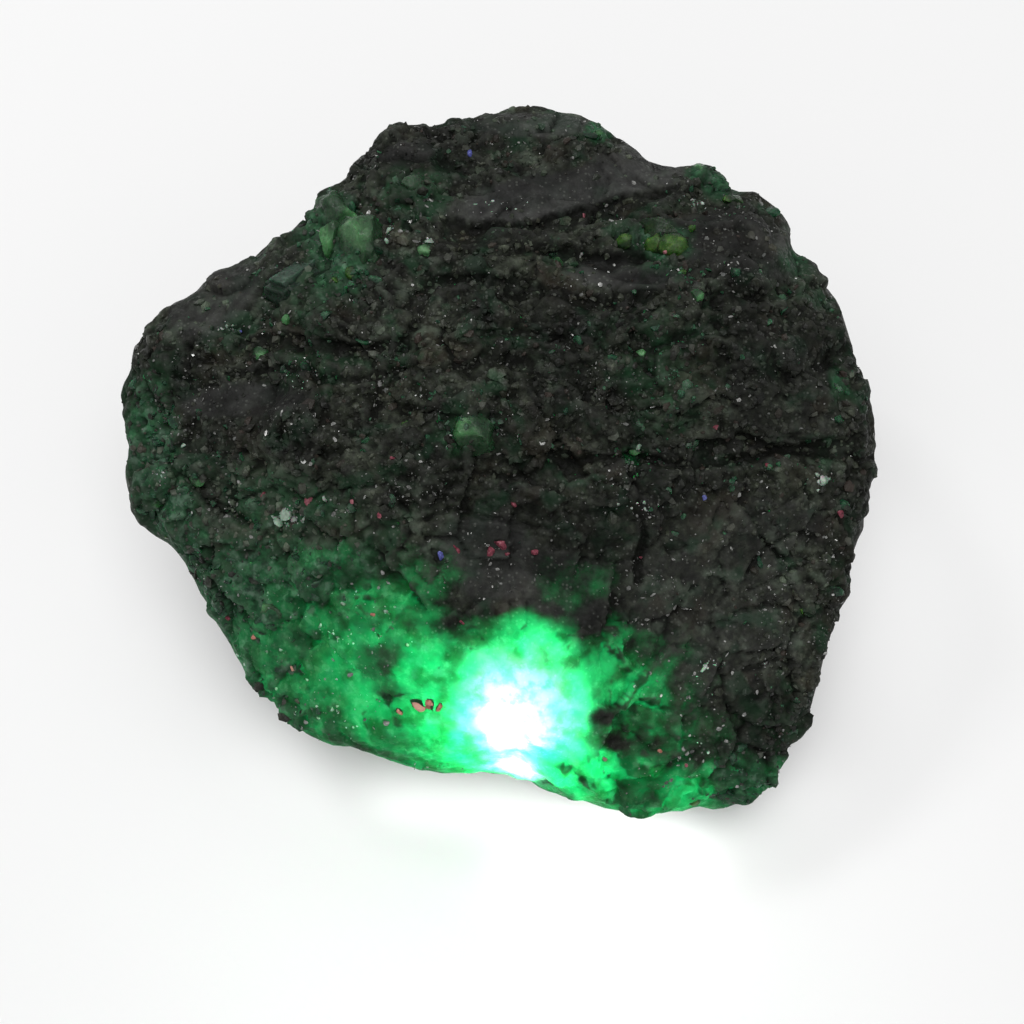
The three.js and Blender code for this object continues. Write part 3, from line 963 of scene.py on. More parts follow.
# %% [markdown]
# ## Grains by the thousand
# Loose-looking grains sit in the surface of the stone: crumbs of schist, flakes of mica, grains of
# beryl, and a few red, rust and blue crumbs. They are far too many to model one by one, so each kind is one
# joined mesh. A ball of a few triangles is copied, stretched, cut flat by random planes and turned, all
# as one array of numbers, and every grain keeps a random number of its own for its tint.


# %% Shapes for grains
def ball(detail):
    """The points and triangles of a ball of radius 1."""
    shape = bmesh.new()
    bmesh.ops.create_icosphere(shape, subdivisions=detail, radius=1)
    points = np.array([v.co for v in shape.verts])
    triangles = np.array([[v.index for v in face.verts] for face in shape.faces])
    shape.free()
    return points, triangles


def plate():
    """The points and triangles of a thin six-sided flake of radius 1."""
    turns = np.arange(6) * math.pi / 3
    ring = np.stack([np.cos(turns), np.sin(turns)], axis=-1)
    points = np.concatenate([np.c_[ring, np.full(6, 0.1)], np.c_[ring * 0.94, np.full(6, -0.1)]])
    top = [[0, i, i + 1] for i in range(1, 5)]
    bottom = [[6, i + 7, i + 6] for i in range(1, 5)]
    sides = [t for i in range(6) for t in ([i, i + 6, (i + 1) % 6], [(i + 1) % 6, i + 6, (i + 1) % 6 + 6])]
    return points, np.array(top + bottom + sides)


print("a ball has", len(ball(1)[1]), "triangles and a flake", len(plate()[1]))


# %% A batch of grains
def random_turns(rng, count, leading, spread):
    """Rotation matrices, in which each grain's z leans from `leading` by about `spread`."""
    flat = rng.normal(size=(count, 3))
    up = leading + spread * rng.normal(size=(count, 3))
    up /= np.linalg.norm(up, axis=1, keepdims=True)
    side = np.cross(flat, up)
    side /= np.linalg.norm(side, axis=1, keepdims=True)
    return np.stack([side, np.cross(up, side), up], axis=-1)


def riding_piece(name, points, triangles, material, slot, smooth, **numbers):
    """A piece from points in mm and triangles, with numbers per point, that rides with the stone."""
    mesh = bpy.data.meshes.new(name)
    mesh.from_pydata((points * MM).tolist(), [], triangles.tolist())
    mesh.polygons.foreach_set("use_smooth", [smooth] * len(mesh.polygons))
    for number_name, values in numbers.items():
        keep_on_mesh(mesh, number_name, values)
    mesh.materials.append(material)
    piece = new_piece(name, mesh)
    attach(piece, "root")
    print(f"{name}: {len(mesh.polygons)} triangles")
    return piece


def grain_piece(name, shape, rng, places, sizes, stretch, cuts, turns, material, slot, **numbers):
    """One joined mesh of chipped grains at `places`, in mm, with a `tone` per grain and its `crown`."""
    least, most, flatness = stretch
    points, triangles = shape
    count = len(places)
    grains = np.repeat(points[None], count, axis=0) * (1 + 0.12 * rng.normal(size=(count, len(points), 1)))
    for _ in range(cuts):
        plane = rng.normal(size=(count, 3))
        plane /= np.linalg.norm(plane, axis=1, keepdims=True)
        beyond = np.einsum("gpi,gi->gp", grains, plane) - rng.uniform(0.45, 0.9, (count, 1))
        grains -= np.maximum(beyond, 0)[..., None] * plane[:, None]
    crown = ramp(grains[..., 2], -0.3, 0.7).ravel()
    grains *= sizes[:, None, None] * rng.uniform(least, most, (count, 1, 3)) * (1, 1, flatness)
    grains = np.einsum("gij,gpj->gpi", turns, grains) + places[:, None]
    grains[..., 2] = np.maximum(grains[..., 2], 0.02)
    corners = (triangles[None] + np.arange(count)[:, None, None] * len(points)).reshape(-1, 3)
    numbers["tone"] = rng.random(count)
    per_point = {number_name: np.repeat(values, len(points)) for number_name, values in numbers.items()}
    riding_piece(name, grains.reshape(-1, 3), corners, material, slot, False, crown=crown, **per_point)


# %% [markdown]
# Grains are strewn over the stone by picking triangles of its mesh, each with a chance that depends on
# its area and on what grows there: beryl grains where there is emerald, mica where there is schist.

# %% Strewing
net.calc_loop_triangles()
corner_numbers = np.empty(len(net.loop_triangles) * 3, np.int64)
net.loop_triangles.foreach_get("vertices", corner_numbers)
corner_numbers = corner_numbers.reshape(-1, 3)
corner_points = surface[corner_numbers]
triangle_middle = corner_points.mean(axis=1)
sides = corner_points[:, 1:] - corner_points[:, :1]
triangle_area = np.linalg.norm(np.cross(sides[:, 0], sides[:, 1]), axis=1) / 2
broad_normal = relaxed(facing, 6)
broad_normal /= np.linalg.norm(broad_normal, axis=1, keepdims=True)
triangle_broad = broad_normal[corner_numbers[:, 0]]


def at_triangles(values):
    """A per-point number averaged onto the triangles."""
    return values[corner_numbers].mean(axis=1)


off_base = ramp(triangle_middle[:, 2], 0.3, 0.8)
calm_there = at_triangles(calm)
emerald_there = at_triangles(emerald)
heart_gap = at_triangles(from_heart)


def strewn(rng, count, chance):
    """Triangles picked by chance, with their places and the broad direction of the surface there."""
    weight = np.maximum(chance, 0) * triangle_area * off_base
    picked = rng.choice(len(weight), size=count, replace=False, p=weight / weight.sum())
    return picked, triangle_middle[picked], triangle_broad[picked]


print(f"{len(corner_numbers)} triangles to strew on, {triangle_area.sum():.0f} square mm")

# %% [markdown]
# ## Crumbs of schist
# Half-loose angular crumbs from 0.3 to 1.2 mm give the crumbly look. They stick out of the surface by
# less than half their size. Their material is the matrix again, with more spread from grain to grain.

# %% Schist crumbs
crumb_stuff, tree, output, place = new_material("schist_crumb")
tone = number_of(tree, "tone")
colour = use_group(tree, rock_colour, place=place, calm=0.0, pale=number_of(tree, "pale"))["Color"]
own_shade = mixed(tree, tone, (0.6, 0.6, 0.6, 1), (1.7, 1.7, 1.6, 1))
colour = mixed(tree, 1.0, colour, own_shade, "MULTIPLY")
pale_ones = stretched(tree, tone, 0.90, 1.0, 0, 0.6)
colour = mixed(tree, pale_ones, colour, (0.070, 0.074, 0.062, 1))
brownish = stretched(tree, tone, 0.10, 0.0, 0, 0.6)
colour = mixed(tree, brownish, colour, (0.040, 0.026, 0.020, 1))
small = use_group(tree, grain, place=place, size=0.2 * MM)
bump = bumped(tree, small["Height"], 0.4, 0.08)
dullness = stretched(tree, small["Number"], 0, 1, 0.35, 0.8)
finish_with(
    tree, output,
    {"Base Color": colour, "Roughness": dullness, "Specular IOR Level": 0.3, "Normal": bump},
)

CRUMB_COUNT = 7000
rng = np.random.default_rng(20)
facing_camera = ramp(triangle_broad @ OUT, -0.3, 0.3)
near_light = ramp(heart_gap, 29, 17)
green_there = np.clip(emerald_there, 0, 1)
chance = (1 - 0.93 * calm_there) * (1 - 0.9 * green_there) * (0.5 + 0.5 * facing_camera)
rim_there = ramp(np.abs(triangle_broad @ OUT), 0.28, 0.66)
picked, places, ways = strewn(rng, CRUMB_COUNT, chance * rim_there * (1 - near_light))
sizes = (0.17 + 0.45 * rng.random(len(places)) ** 2.6) * (0.45 + 0.55 * rim_there[picked])
grain_piece(
    "schist_crumbs", ball(1), rng, places - ways * (sizes * 0.22)[:, None], sizes, (0.7, 1.4, 0.72), 6,
    random_turns(rng, len(places), ways, 0.5), crumb_stuff, "schist", pale=at_triangles(pale)[picked],
)

# %% [markdown]
# ## Mica
# Mica lies in thin bright flakes, roughly along the layers of the schist. Each one is a six-sided plate
# tipped a little out of the surface. Only those that happen to face between the lamp and the eye
# flash, as they do on the real stone.

# %% Mica flakes
mica_stuff, tree, output, place = new_material("silver_mica")
tone = number_of(tree, "tone")
silver = use_group(
    tree, mottle, place=place, size=0.3 * MM,
    dark=(0.10, 0.10, 0.095, 1), middle=(0.24, 0.24, 0.23, 1), light=(0.52, 0.52, 0.50, 1),
)["Color"]
silver = mixed(tree, stretched(tree, tone, 0.75, 0.0, 0, 0.8), silver, (0.07, 0.075, 0.07, 1))
sheets = use_group(tree, grain, place=place, size=0.15 * MM)
bump = bumped(tree, sheets["Height"], 0.15, 0.02)
finish_with(
    tree, output,
    {"Base Color": silver, "Roughness": stretched(tree, tone, 0, 1, 0.12, 0.3),
     "Metallic": 0.35, "Specular IOR Level": 0.6, "Normal": bump},
)

FLAKE_COUNT = 4200
rng = np.random.default_rng(21)
in_swarms = 0.12 + ramp(rough_noise(triangle_middle, 3.5, 321, 2), 0.0, 0.40) ** 1.5
off_core = 1 - ramp(heart_gap, 15, 9)
chance = (1 - 0.45 * green_there) * (0.45 + 0.55 * facing_camera) * off_core * in_swarms * rim_there
picked, places, ways = strewn(rng, FLAKE_COUNT, chance)
sizes = 0.05 + 0.15 * rng.random(len(places)) ** 4
grain_piece(
    "mica_flakes", plate(), rng, places + ways * (sizes * 0.35)[:, None], sizes, (0.35, 1.7, 1.0), 2,
    random_turns(rng, len(places), ways, 0.75), mica_stuff, "mica",
)

# %% [markdown]
# ## Beryl grains
# Emerald is green beryl. On this stone most of it is sugary: rounded, glassy grains from 0.3 to 6 mm,
# milky inside. Light goes in at one side and comes out at another, which Subsurface does well. The
# larger grains are placed one by one, each with its own size and tint, and small ones are strewn.

# %% Beryl grains
def beryl_material(name, deep, middle, pale, tint_by_tone):
    """Milky green glass in three tones, tinted by each grain's own number and darker towards its foot."""
    material, tree, output, place = new_material(name)
    tones = {"dark": deep, "middle": middle, "light": pale}
    colour = use_group(tree, mottle, place=place, size=1.1 * MM, **tones)["Color"]
    tone = number_of(tree, "tone")
    colour = mixed(tree, stretched(tree, tone, 0.55, 1.0, 0, 0.5), colour, tint_by_tone)
    foot = stretched(tree, number_of(tree, "crown"), 0.75, 0.1, 0, 0.8)
    colour = mixed(tree, foot, colour, (0.004, 0.012, 0.006, 1))
    small = use_group(tree, grain, place=place, size=0.25 * MM)
    bump = bumped(tree, small["Height"], 0.3, 0.06)
    finish_with(
        tree, output,
        {"Base Color": colour, "Roughness": stretched(tree, small["Number"], 0, 1, 0.25, 0.6),
         "IOR": 1.58, "Specular IOR Level": 0.2, "Subsurface Weight": 0.6,
         "Subsurface Radius": (0.25, 1.0, 0.5), "Subsurface Scale": 0.8 * MM, "Normal": bump},
    )
    return material


leaf_green = beryl_material(
    "beryl_green", (0.017, 0.070, 0.021, 1), (0.053, 0.16, 0.056, 1), (0.13, 0.28, 0.13, 1),
    (0.16, 0.27, 0.16, 1),
)
deep_green = beryl_material(
    "beryl_deep", (0.004, 0.022, 0.011, 1), (0.013, 0.056, 0.026, 1), (0.044, 0.115, 0.060, 1),
    (0.070, 0.11, 0.075, 1),
)
BERYL_GRAIN_COUNT = 800
rng = np.random.default_rng(22)
chance = (0.05 + green_there**2) * (0.5 + 0.5 * facing_camera) * (1 - near_light) * (1 - 0.9 * calm_there)
picked, places, ways = strewn(rng, BERYL_GRAIN_COUNT, chance * rim_there)
sizes = (0.16 + 0.60 * rng.random(len(places)) ** 2.4) * (0.35 + 0.65 * rim_there[picked])
grain_piece(
    "emerald_grains", ball(2), rng, places - ways * (sizes * 0.50)[:, None], sizes, (0.6, 1.6, 0.75), 8,
    random_turns(rng, len(places), ways, 0.7), deep_green, "emerald",
)

# %% [markdown]
# The larger grains are single lumps of beryl, each with more triangles and its own outline. They are
# listed one by one where they catch the eye on the face: right, up, radius and height over the stone in mm.

# %% Lumps placed one by one
EDGE_ANGLE = math.radians(32)


def lump_piece(name, spots, seed, material, slot, detail=4, cut_from=0.66, root=9.0):
    """Separate rounded, chipped lumps pressed into the stone by up to `root` mm, as one mesh."""
    rng = np.random.default_rng(seed)
    points, triangles = ball(detail)
    all_points, all_triangles, tones, crowns = [], [], [], []
    for right, up, radius, proud in spots:
        found = ray_to_face(stone_tree, right, up)
        if found is None or found[1] @ OUT < 0.3:
            continue
        place, way = found
        lump = points * (1 + 0.16 * rough_noise(points * 1.3 + rng.uniform(0, 99, 3), 0.8, 301)[:, None])
        for _ in range(9):
            plane = rng.normal(size=3)
            plane /= np.linalg.norm(plane)
            lump -= np.maximum(lump @ plane - rng.uniform(cut_from, 0.95), 0)[:, None] * plane
        lump = lump * radius * rng.uniform(0.72, 1.25, 3)
        turn = random_turns(rng, 1, way[None], 0.4)[0]
        centre = place + way * (proud - radius * 0.6)
        moved_lump = lump @ turn.T + centre
        moved_lump += 0.13 * rough_noise(moved_lump, 0.7, 311)[:, None] * (lump @ turn.T)
        too_deep = np.maximum(-root - (moved_lump - place) @ way, 0)
        moved_lump += too_deep[:, None] * way
        moved_lump[:, 2] = np.maximum(moved_lump[:, 2], 0.02)
        all_triangles.append(triangles + sum(len(p) for p in all_points))
        all_points.append(moved_lump)
        tones.append(np.full(len(points), rng.random()))
        crowns.append(ramp((moved_lump - place) @ way / radius, -0.25, 0.55))
    points, triangles = np.concatenate(all_points), np.concatenate(all_triangles)
    numbers = {"tone": np.concatenate(tones), "crown": np.concatenate(crowns)}
    piece = riding_piece(name, points, triangles, material, slot, True, **numbers)
    piece.data.set_sharp_from_angle(angle=EDGE_ANGLE)


# %% The green lumps
GREEN_LUMPS = [
    (-15.9, 28.0, 2.2, 0.0), (-15.9, 26.0, 3.0, 0.1), (-17.9, 26.0, 1.8, 0.1), (-13.9, 27.0, 1.4, 0.1),
    (-18.0, 29.5, 1.5, -0.3), (-8.3, 25.2, 0.9, 0.1),
    (-4.4, 7.4, 2.0, -0.75), (-21.7, 18.5, 0.5, 0.1), (12.4, 15.4, 0.6, 0.1), (32.0, 12.9, 1.1, -0.5),
    (18.1, 20.6, 0.8, 0.1), (11.8, 5.8, 0.6, 0.1), (4.5, 24.1, 0.8, -0.1), (8.5, 36.2, 0.8, -0.1),
    (-24.0, 15.2, 0.9, -0.1), (-9.0, 30.8, 1.1, -0.5), (18.0, 33.0, 1.4, -0.5), (-30.0, 3.0, 0.8, 0.0),
    (-34.0, 0.5, 1.2, -0.5), (20.0, -25.6, 1.2, -0.4), (-23.5, -9.5, 1.2, -0.1),
]
lump_piece("emerald_lumps", GREEN_LUMPS, 23, leaf_green, "emerald")

# %% [markdown]
# Between them lie swarms of small splinters. Only the middle, the size and the number of each swarm are
# given: where its splinters lie, and how large each one is, comes by chance.

# %% Swarms of green splinters
# Each swarm: right, up, half length, half height, number of splinters.
GREEN_CLUSTERS = [
    (14.5, 13.5, 5.5, 6.0, 60), (-22.0, 16.0, 3.0, 3.0, 12), (-20.0, -5.5, 7.0, 2.6, 34),
    (-4.0, 8.0, 3.5, 2.2, 22), (3.0, 17.0, 7.0, 3.5, 20), (-28.5, 2.5, 4.0, 4.5, 24),
    (17.0, 22.5, 3.5, 2.5, 22), (-14.0, 28.0, 3.0, 4.0, 22), (26.0, 4.5, 5.0, 2.0, 14),
    (20.0, 29.5, 4.0, 1.5, 14), (12.5, 5.0, 2.5, 1.0, 16), (-9.0, 12.0, 6.0, 3.0, 18),
]


def clustered(clusters, seed, smallest, largest):
    """Spots for lumps, gathered in clusters: right, up, half length, half height and how many."""
    rng = np.random.default_rng(seed)
    spots = []
    for right, up, half_length, half_height, count in clusters:
        for along, across, number in np.c_[rng.normal(0, 0.5, (count, 2)), rng.random(count)]:
            radius = smallest + (largest - smallest) * number**2
            spots.append((right + along * half_length, up + across * half_height, radius, 0.3 * radius))
    return spots


splinter_spots = clustered(GREEN_CLUSTERS, 29, 0.11, 0.42)
lump_piece("green_splinters", splinter_spots, 30, deep_green, "emerald", 2, 0.4)

# %% [markdown]
# Beside the largest green lump sits a dull block with flat sides: a piece of a beryl prism, which has
# six sides. It is a six-sided cylinder with worn edges, and its end is broken off slanting. Blender's
# bevel may list its new points in another order each time, so they are put in a fixed order.

# %% The prism block
PRISM_AT = (-20.8, 23.2)
PRISM_RADIUS = 2.8
PRISM_HALF_LENGTH = 3.1
PRISM_SUNK = 2.1
PRISM_WORN = 0.60


def in_fixed_order(points, triangles):
    """The same points and triangles, numbered by place and no longer by how they were made."""
    order = np.lexsort(points.T)
    triangles = np.argsort(order)[triangles]
    lowest_first = (triangles.argmin(axis=1)[:, None] + np.arange(3)) % 3
    triangles = np.take_along_axis(triangles, lowest_first, axis=1)
    return points[order], triangles[np.lexsort(triangles.T)]


def worn_prism(rounds):
    """The points and triangles of a six-sided prism with its edges a little worn."""
    shape = bmesh.new()
    ends = {"radius1": PRISM_RADIUS, "radius2": PRISM_RADIUS, "depth": 2 * PRISM_HALF_LENGTH}
    bmesh.ops.create_cone(shape, cap_ends=True, segments=6, **ends)
    bmesh.ops.bevel(shape, geom=shape.edges[:], offset=PRISM_WORN, segments=2, affect="EDGES")
    bmesh.ops.triangulate(shape, faces=shape.faces)
    for _ in range(rounds):
        bmesh.ops.subdivide_edges(shape, edges=shape.edges[:], cuts=1, use_grid_fill=True)
        bmesh.ops.triangulate(shape, faces=shape.faces)
    points = np.array([v.co for v in shape.verts])
    triangles = np.array([[v.index for v in face.verts] for face in shape.faces])
    shape.free()
    return in_fixed_order(points, triangles)


points, triangles = worn_prism(3)
slant = np.maximum(points @ (0.25, 0.1, 1.0) - 0.8 * PRISM_HALF_LENGTH, 0)
points[:, 2] -= slant
points *= 1 + 0.06 * rough_noise(points, 1.8, 331)[:, None] + 0.03 * rough_noise(points, 0.6, 341)[:, None]
prism_place, prism_way = ray_to_face(stone_tree, *PRISM_AT)
prism_axis = 0.35 * RIGHT + 0.94 * UP_FACE
prism_axis -= prism_way * (prism_axis @ prism_way)
prism_axis /= np.linalg.norm(prism_axis)
prism_side = np.cross(prism_way, prism_axis)
points = points @ np.stack([prism_way, prism_side, prism_axis]) + prism_place
points -= prism_way * PRISM_SUNK
numbers = {
    "tone": np.full(len(points), 0.3),
    "crown": ramp((points - prism_place) @ prism_way, -0.4, 0.6),
}
dull_beryl = beryl_material(
    "beryl_dull", (0.014, 0.030, 0.019, 1), (0.032, 0.060, 0.042, 1), (0.064, 0.105, 0.076, 1),
    (0.03, 0.05, 0.035, 1),
)
riding_piece("prism_block", points, triangles, dull_beryl, "emerald", True, **numbers)

# %% [markdown]
# Some of the beryl is olive to yellow green. It sits high on the right, as a cluster of a few lumps, and
# as single grains elsewhere.

# %% Olive lumps
olive_green = beryl_material(
    "beryl_olive", (0.008, 0.030, 0.004, 1), (0.025, 0.070, 0.009, 1), (0.075, 0.15, 0.024, 1),
    (0.085, 0.16, 0.038, 1),
)
OLIVE_LUMPS = [
    (14.6, 26.3, 2.1, -0.1), (15.5, 25.6, 1.5, 0.1), (13.6, 25.6, 1.4, 0.0), (15.0, 27.2, 1.3, 0.0),
    (10.7, 26.2, 0.7, 0.1), (17.2, 27.2, 0.6, 0.2),
    (-15.6, 23.0, 0.7, 0.1), (-16.8, 22.4, 0.5, 0.1),
    (21.0, 29.8, 0.9, -0.1), (26.3, 25.3, 0.8, -0.1), (16.4, 23.0, 0.5, 0.1), (-10.5, 8.6, 0.5, 0.1),
    (-33.1, -2.5, 0.6, 0.0), (17.6, -27.9, 0.5, 0.0), (27.8, -9.6, 0.6, -0.1),
]
lump_piece("olive_lumps", OLIVE_LUMPS, 24, olive_green, "emerald", 4, 0.45)

# %% [markdown]
# ## Red, rust and blue crumbs
# A few crumbs of other minerals are scattered in the rock: dull pink to red ones, rust-coloured ones
# in the green, and four blue ones. They are what the eye finds next after the green.

# %% Red, rust and blue crumbs
def dull_mineral(name, deep, middle, pale):
    """A dull crumbly mineral in three tones, with some grains paler than others."""
    material, tree, output, place = new_material(name)
    tones = {"dark": deep, "middle": middle, "light": pale}
    colour = use_group(tree, mottle, place=place, size=0.35 * MM, **tones)["Color"]
    colour = mixed(tree, stretched(tree, number_of(tree, "tone"), 0.45, 1.0, 0, 0.75), colour, pale)
    small = use_group(tree, grain, place=place, size=0.18 * MM)
    bump = bumped(tree, small["Height"], 0.5, 0.06)
    dullness = stretched(tree, small["Number"], 0, 1, 0.45, 0.8)
    finish_with(
        tree, output,
        {"Base Color": colour, "Roughness": dullness, "Specular IOR Level": 0.3, "Normal": bump},
    )
    return material


rose = dull_mineral("rose_crumb", (0.045, 0.008, 0.014, 1), (0.17, 0.026, 0.045, 1), (0.36, 0.15, 0.17, 1))
PINK_SPOTS = [
    (-1.2, -3.1, 0.95, 0.15), (-2.2, -3.7, 0.60, 0.15), (-0.5, -4.1, 0.34, 0.15), (2.2, -3.9, 0.32, 0.2),
    (-5.2, -3.5, 0.50, 0.0), (-12.7, -0.3, 0.34, 0.2), (-23.9, 1.7, 0.32, 0.2), (-19.5, 1.1, 0.42, 0.2),
    (6.9, 28.4, 0.40, 0.25), (19.6, 8.1, 0.36, 0.25),
    (24.6, 4.4, 0.30, 0.2), (19.1, 4.4, 0.28, 0.2), (31.5, -0.2, 0.34, 0.2), (-27.3, -10.1, 0.30, 0.2),
    (-11.3, 5.2, 0.34, 0.2), (12.4, -4.4, 0.26, 0.2), (0.2, 0.8, 0.26, 0.2), (-15.3, 1.0, 0.26, 0.2),
    (14.9, 24.6, 0.24, 0.5), (-4.8, -10.6, 0.24, 0.2), (8.9, -23.7, 0.26, 0.2), (16.7, -24.4, 0.22, 0.2),
]
lump_piece("pink_grains", PINK_SPOTS, 25, rose, "pink_grains", 3, 0.3, 0.1)

rust = dull_mineral("rust_crumb", (0.22, 0.07, 0.05, 1), (0.42, 0.17, 0.13, 1), (0.60, 0.34, 0.26, 1))
RUST_SPOTS = [
    (-10.8, -19.1, 0.5, 0.1), (-8.9, -18.5, 0.7, 0.1), (-7.8, -18.6, 0.8, 0.1), (-7.0, -18.8, 0.5, 0.1),
    (-21.1, -14.9, 0.4, 0.1), (-13.4, -9.9, 0.35, 0.1), (-24.8, -12.0, 0.3, 0.1), (14.2, -23.0, 0.3, 0.1),
]
lump_piece("rust_grains", RUST_SPOTS, 31, rust, "pink_grains", 3, 0.3, 0.05)

cobalt = dull_mineral(
    "blue_crumb", (0.020, 0.022, 0.10, 1), (0.060, 0.070, 0.26, 1), (0.20, 0.22, 0.50, 1)
)
BLUE_SPOTS = [
    (-4.0, 34.4, 0.40, 0.25), (-6.9, -4.2, 0.36, 0.2), (18.4, 1.4, 0.22, 0.2), (-26.0, 17.4, 0.24, 0.2),
]
lump_piece("blue_grains", BLUE_SPOTS, 26, cobalt, "blue_grains", 3, 0.3)

# %% [markdown]
# ## Pale clusters
# In a few places broken beryl and quartz lie open as a pale, glinting patch of splinters.

# %% Pale splinters
pale_beryl = beryl_material(
    "pale_splinter", (0.12, 0.17, 0.13, 1), (0.25, 0.32, 0.26, 1), (0.44, 0.52, 0.46, 1),
    (0.52, 0.58, 0.52, 1),
)
# Each cluster: right, up, half length, half height, number of splinters.
PALE_CLUSTERS = [
    (-21.4, -0.4, 1.7, 1.2, 60), (29.6, 2.9, 1.2, 1.0, 16), (19.4, -14.8, 1.5, 0.8, 16),
    (17.7, 29.8, 1.2, 0.9, 16), (-11.6, -12.6, 2.4, 0.9, 10), (-27.0, 17.6, 1.2, 0.7, 12),
    (-11.9, 26.8, 0.4, 1.1, 9), (-8.2, 26.0, 0.8, 0.3, 7), (12.5, 0.5, 2.2, 0.7, 16),
    (-34.0, 4.0, 1.6, 1.6, 16), (-17.2, -11.6, 2.2, 1.2, 14), (-1.5, 29.5, 3.0, 0.8, 16),
    (-20.0, 12.8, 1.4, 0.9, 12),
    (-22.0, -9.5, 4.0, 3.0, 16), (-24.0, -15.0, 4.0, 3.0, 14), (-17.0, -19.0, 5.0, 2.5, 16),
    (-14.0, -9.0, 4.0, 2.0, 12), (-29.0, -6.0, 3.0, 4.0, 14), (15.0, -17.0, 4.0, 4.0, 5),
    (20.0, -24.0, 4.0, 2.0, 3),
]
# The brightest single splinters: right, up, radius and height over the stone.
PALE_SPOTS = [
    (-21.8, -0.2, 0.8, 0.3), (-20.9, -0.6, 0.6, 0.3), (-22.4, -1.0, 0.5, 0.3), (-11.9, 27.0, 0.42, 0.3),
    (-12.1, 26.0, 0.34, 0.3), (-8.1, 26.0, 0.5, 0.4), (29.7, 3.1, 0.6, 0.1), (18.4, -15.0, 0.45, 0.1),
    (-31.6, 6.4, 0.4, 0.1), (-32.0, 2.2, 0.34, 0.1), (12.2, 6.2, 0.34, 0.2), (-17.9, 1.2, 0.45, 0.1),
]
PALE_SPOTS += clustered(PALE_CLUSTERS, 27, 0.07, 0.28)
lump_piece("pale_splinters", PALE_SPOTS, 28, pale_beryl, "mica", 2, 0.3, 0.1)

# %% [markdown]
# ## The table, and soft light on it
# The stone is looked at on a pale matt table, under a wide overhead softbox with a weak one in front,
# so that shadows are faint. One small bright window is added for the mica: a small lamp far away makes
# few but sharp glints, and a wide one would make the whole stone look wet.

# %% Table and studio lights
bpy.ops.mesh.primitive_plane_add(size=3, location=(0, 0, -0.03 * MM))
table = bpy.context.object
table.name = "pale_table"
table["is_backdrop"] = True
paper, tree, output, place = new_material("pale_paper")
PAPER_WHITE = (0.86, 0.86, 0.86, 1)
finish_with(tree, output, {"Base Color": PAPER_WHITE, "Roughness": 0.9, "Specular IOR Level": 0.1})
table.data.materials.append(paper)


def lamp(name, kind, at, towards, size, energy):
    """A lamp that stands at a place and looks at another, all in mm, with its energy in watts."""
    light = bpy.data.objects.new(name, bpy.data.lights.new(name, kind))
    light.data.energy = energy
    if kind == "AREA":
        light.data.size = size * MM
    else:
        light.data.shadow_soft_size = size * MM
    at = np.array(at, float)
    light.location = Vector(at * MM)
    light.rotation_mode = "QUATERNION"
    light.rotation_quaternion = Vector(np.array(towards, float) - at).to_track_quat("-Z", "Y")
    bpy.context.scene.collection.objects.link(light)
    return light


STONE_MIDDLE = (0, 0, 15)
# Each lamp: its name, where it stands, its width in mm, its watts.
STUDIO_LAMPS = [
    ("overhead", (-60, 120, 800), 1100, 3.4),
    ("front", (40, -160, 700), 350, 1.1),
    ("window", (-230, 160, 430), 90, 0.30),
]
for name, at, width, energy in STUDIO_LAMPS:
    lamp(name, "AREA", at, STONE_MIDDLE, width, energy)

world = bpy.data.worlds.new("studio")
bpy.context.scene.world = world
world.use_nodes = True
world.node_tree.nodes["Background"].inputs[0].default_value = (0.48, 0.48, 0.48, 1)
bpy.context.scene.view_settings.view_transform = "Standard"

# %% [markdown]
# ## The torch
# A torch is held under the front edge of the stone. Its light goes two ways: some of it comes up
# through the stone, where the emerald is clear, white in the middle and green all round, and some
# spreads over the table. The lamps for the first stand inside the stone, behind the clear parts, since
# a lamp outside would have to be hidden in the table: a strong one and four weak ones. For the second
# there is a pool of light in front of the edge, two glimmers, and low strips that shine straight down
# along the foot of the stone. A pale table throws the light about, so the stone hardly has a shadow.

# %% Torch light inside the stone
LAMP_DEPTH = 5.0
# Each weaker lamp inside the stone: right, up, depth below the face, watts.
WEAKER_LAMPS = [
    (-18.0, -13.5, 8.5, 0.0024),
    (9.0, -17.5, 6.0, 0.0006),
    (16.5, -25.0, 5.0, 0.0012),
    (1.0, -23.2, 3.5, 0.0060),
]
inside = heart - OUT * LAMP_DEPTH - RIGHT * 0.2 + UP_FACE * 0.1
lamp("torch_inside", "POINT", inside, heart, 1.0, 0.043)
for right, up, depth, energy in WEAKER_LAMPS:
    aside_at, _ = ray_to_face(stone_tree, right, up)
    lamp("torch_aside", "POINT", aside_at - OUT * depth, aside_at, 1.0, energy)
print("torch inside at, mm:", np.round(inside, 1))

# %% [markdown]
# On the table the torch makes a white pool in front of the stone, and fills the shadow along its foot.

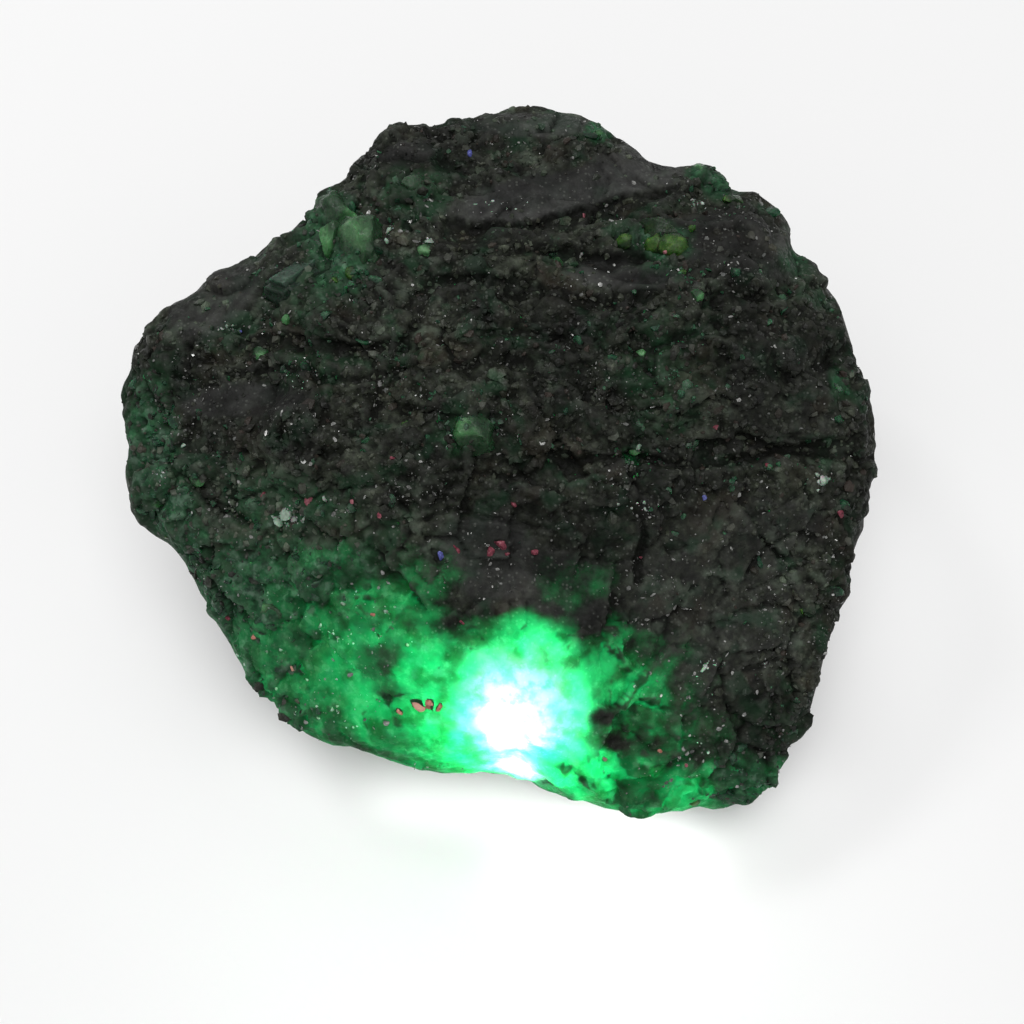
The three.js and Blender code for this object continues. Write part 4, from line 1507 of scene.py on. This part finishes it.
# %% Torch light on the table
low_points = surface[surface[:, 2] < 2.5]
for right in (8, 15):
    front_edge = low_points[np.abs(low_points[:, 0] - right) < 2][:, 1].min()
    edge_at = np.array([right, front_edge - 3.5, 8.0])
    glimmer = lamp("torch_edge", "SPOT", edge_at, edge_at + (0, 0, -10), 2.0, 0.0030)
    glimmer.data.spot_size = math.radians(140)
    glimmer.data.spot_blend = 1.0
front_edge = low_points[np.abs(low_points[:, 0] - heart[0]) < 2][:, 1].min()
pool_at = np.array([heart[0] + 1.0, front_edge - 22.0, 30.0])
pool = lamp("torch_pool", "AREA", pool_at, pool_at + (0, 0, -10), 50.0, 0.002)
pool.data.shape = "RECTANGLE"
pool.data.size_y = 30 * MM


def spill(start, end, height, width, energy):
    """A long low lamp from start to end that shines straight down on the table, in mm."""
    run = np.subtract(end, start)
    middle = np.array([*(np.add(start, end) / 2), height])
    light = lamp("torch_spill", "AREA", middle, middle - (0, 0, 10), np.linalg.norm(run), energy)
    light.data.shape = "RECTANGLE"
    light.data.size_y = width * MM
    light.rotation_mode = "XYZ"
    light.rotation_euler = (0, 0, math.atan2(run[1], run[0]))


# Each strip: its two ends on the table's plan, its height and width, and its watts.
SPILLS = [
    ((-12.0, -27.6), (5.0, -28.8), 4.5, 3.0, 0.00032),
    ((-24.0, -22.0), (-12.0, -27.8), 7.0, 5.0, 0.00020),
    ((-39.0, 4.0), (-24.0, -22.0), 14.0, 9.0, 0.00065),
    ((41.0, 6.0), (33.0, -22.0), 14.0, 9.0, 0.00085),
    ((20.0, -31.5), (32.0, -26.0), 6.0, 4.0, 0.00014),
]
for strip in SPILLS:
    spill(*strip)
print("front edge at y, mm:", round(float(front_edge), 1), "with", len(SPILLS), "strips of light")

# %% [markdown]
# ## Hand over
# The stone takes the place of its CAD body and rides with it.

# %% Sizes and finish
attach(stone, "root")
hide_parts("stone")
sizes = {"cad": [list(corner) for corner in cad_box], "visual": [list(corner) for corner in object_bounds()]}
print({name: np.round(np.subtract(high, low) / MM, 2) for name, (low, high) in sizes.items()})
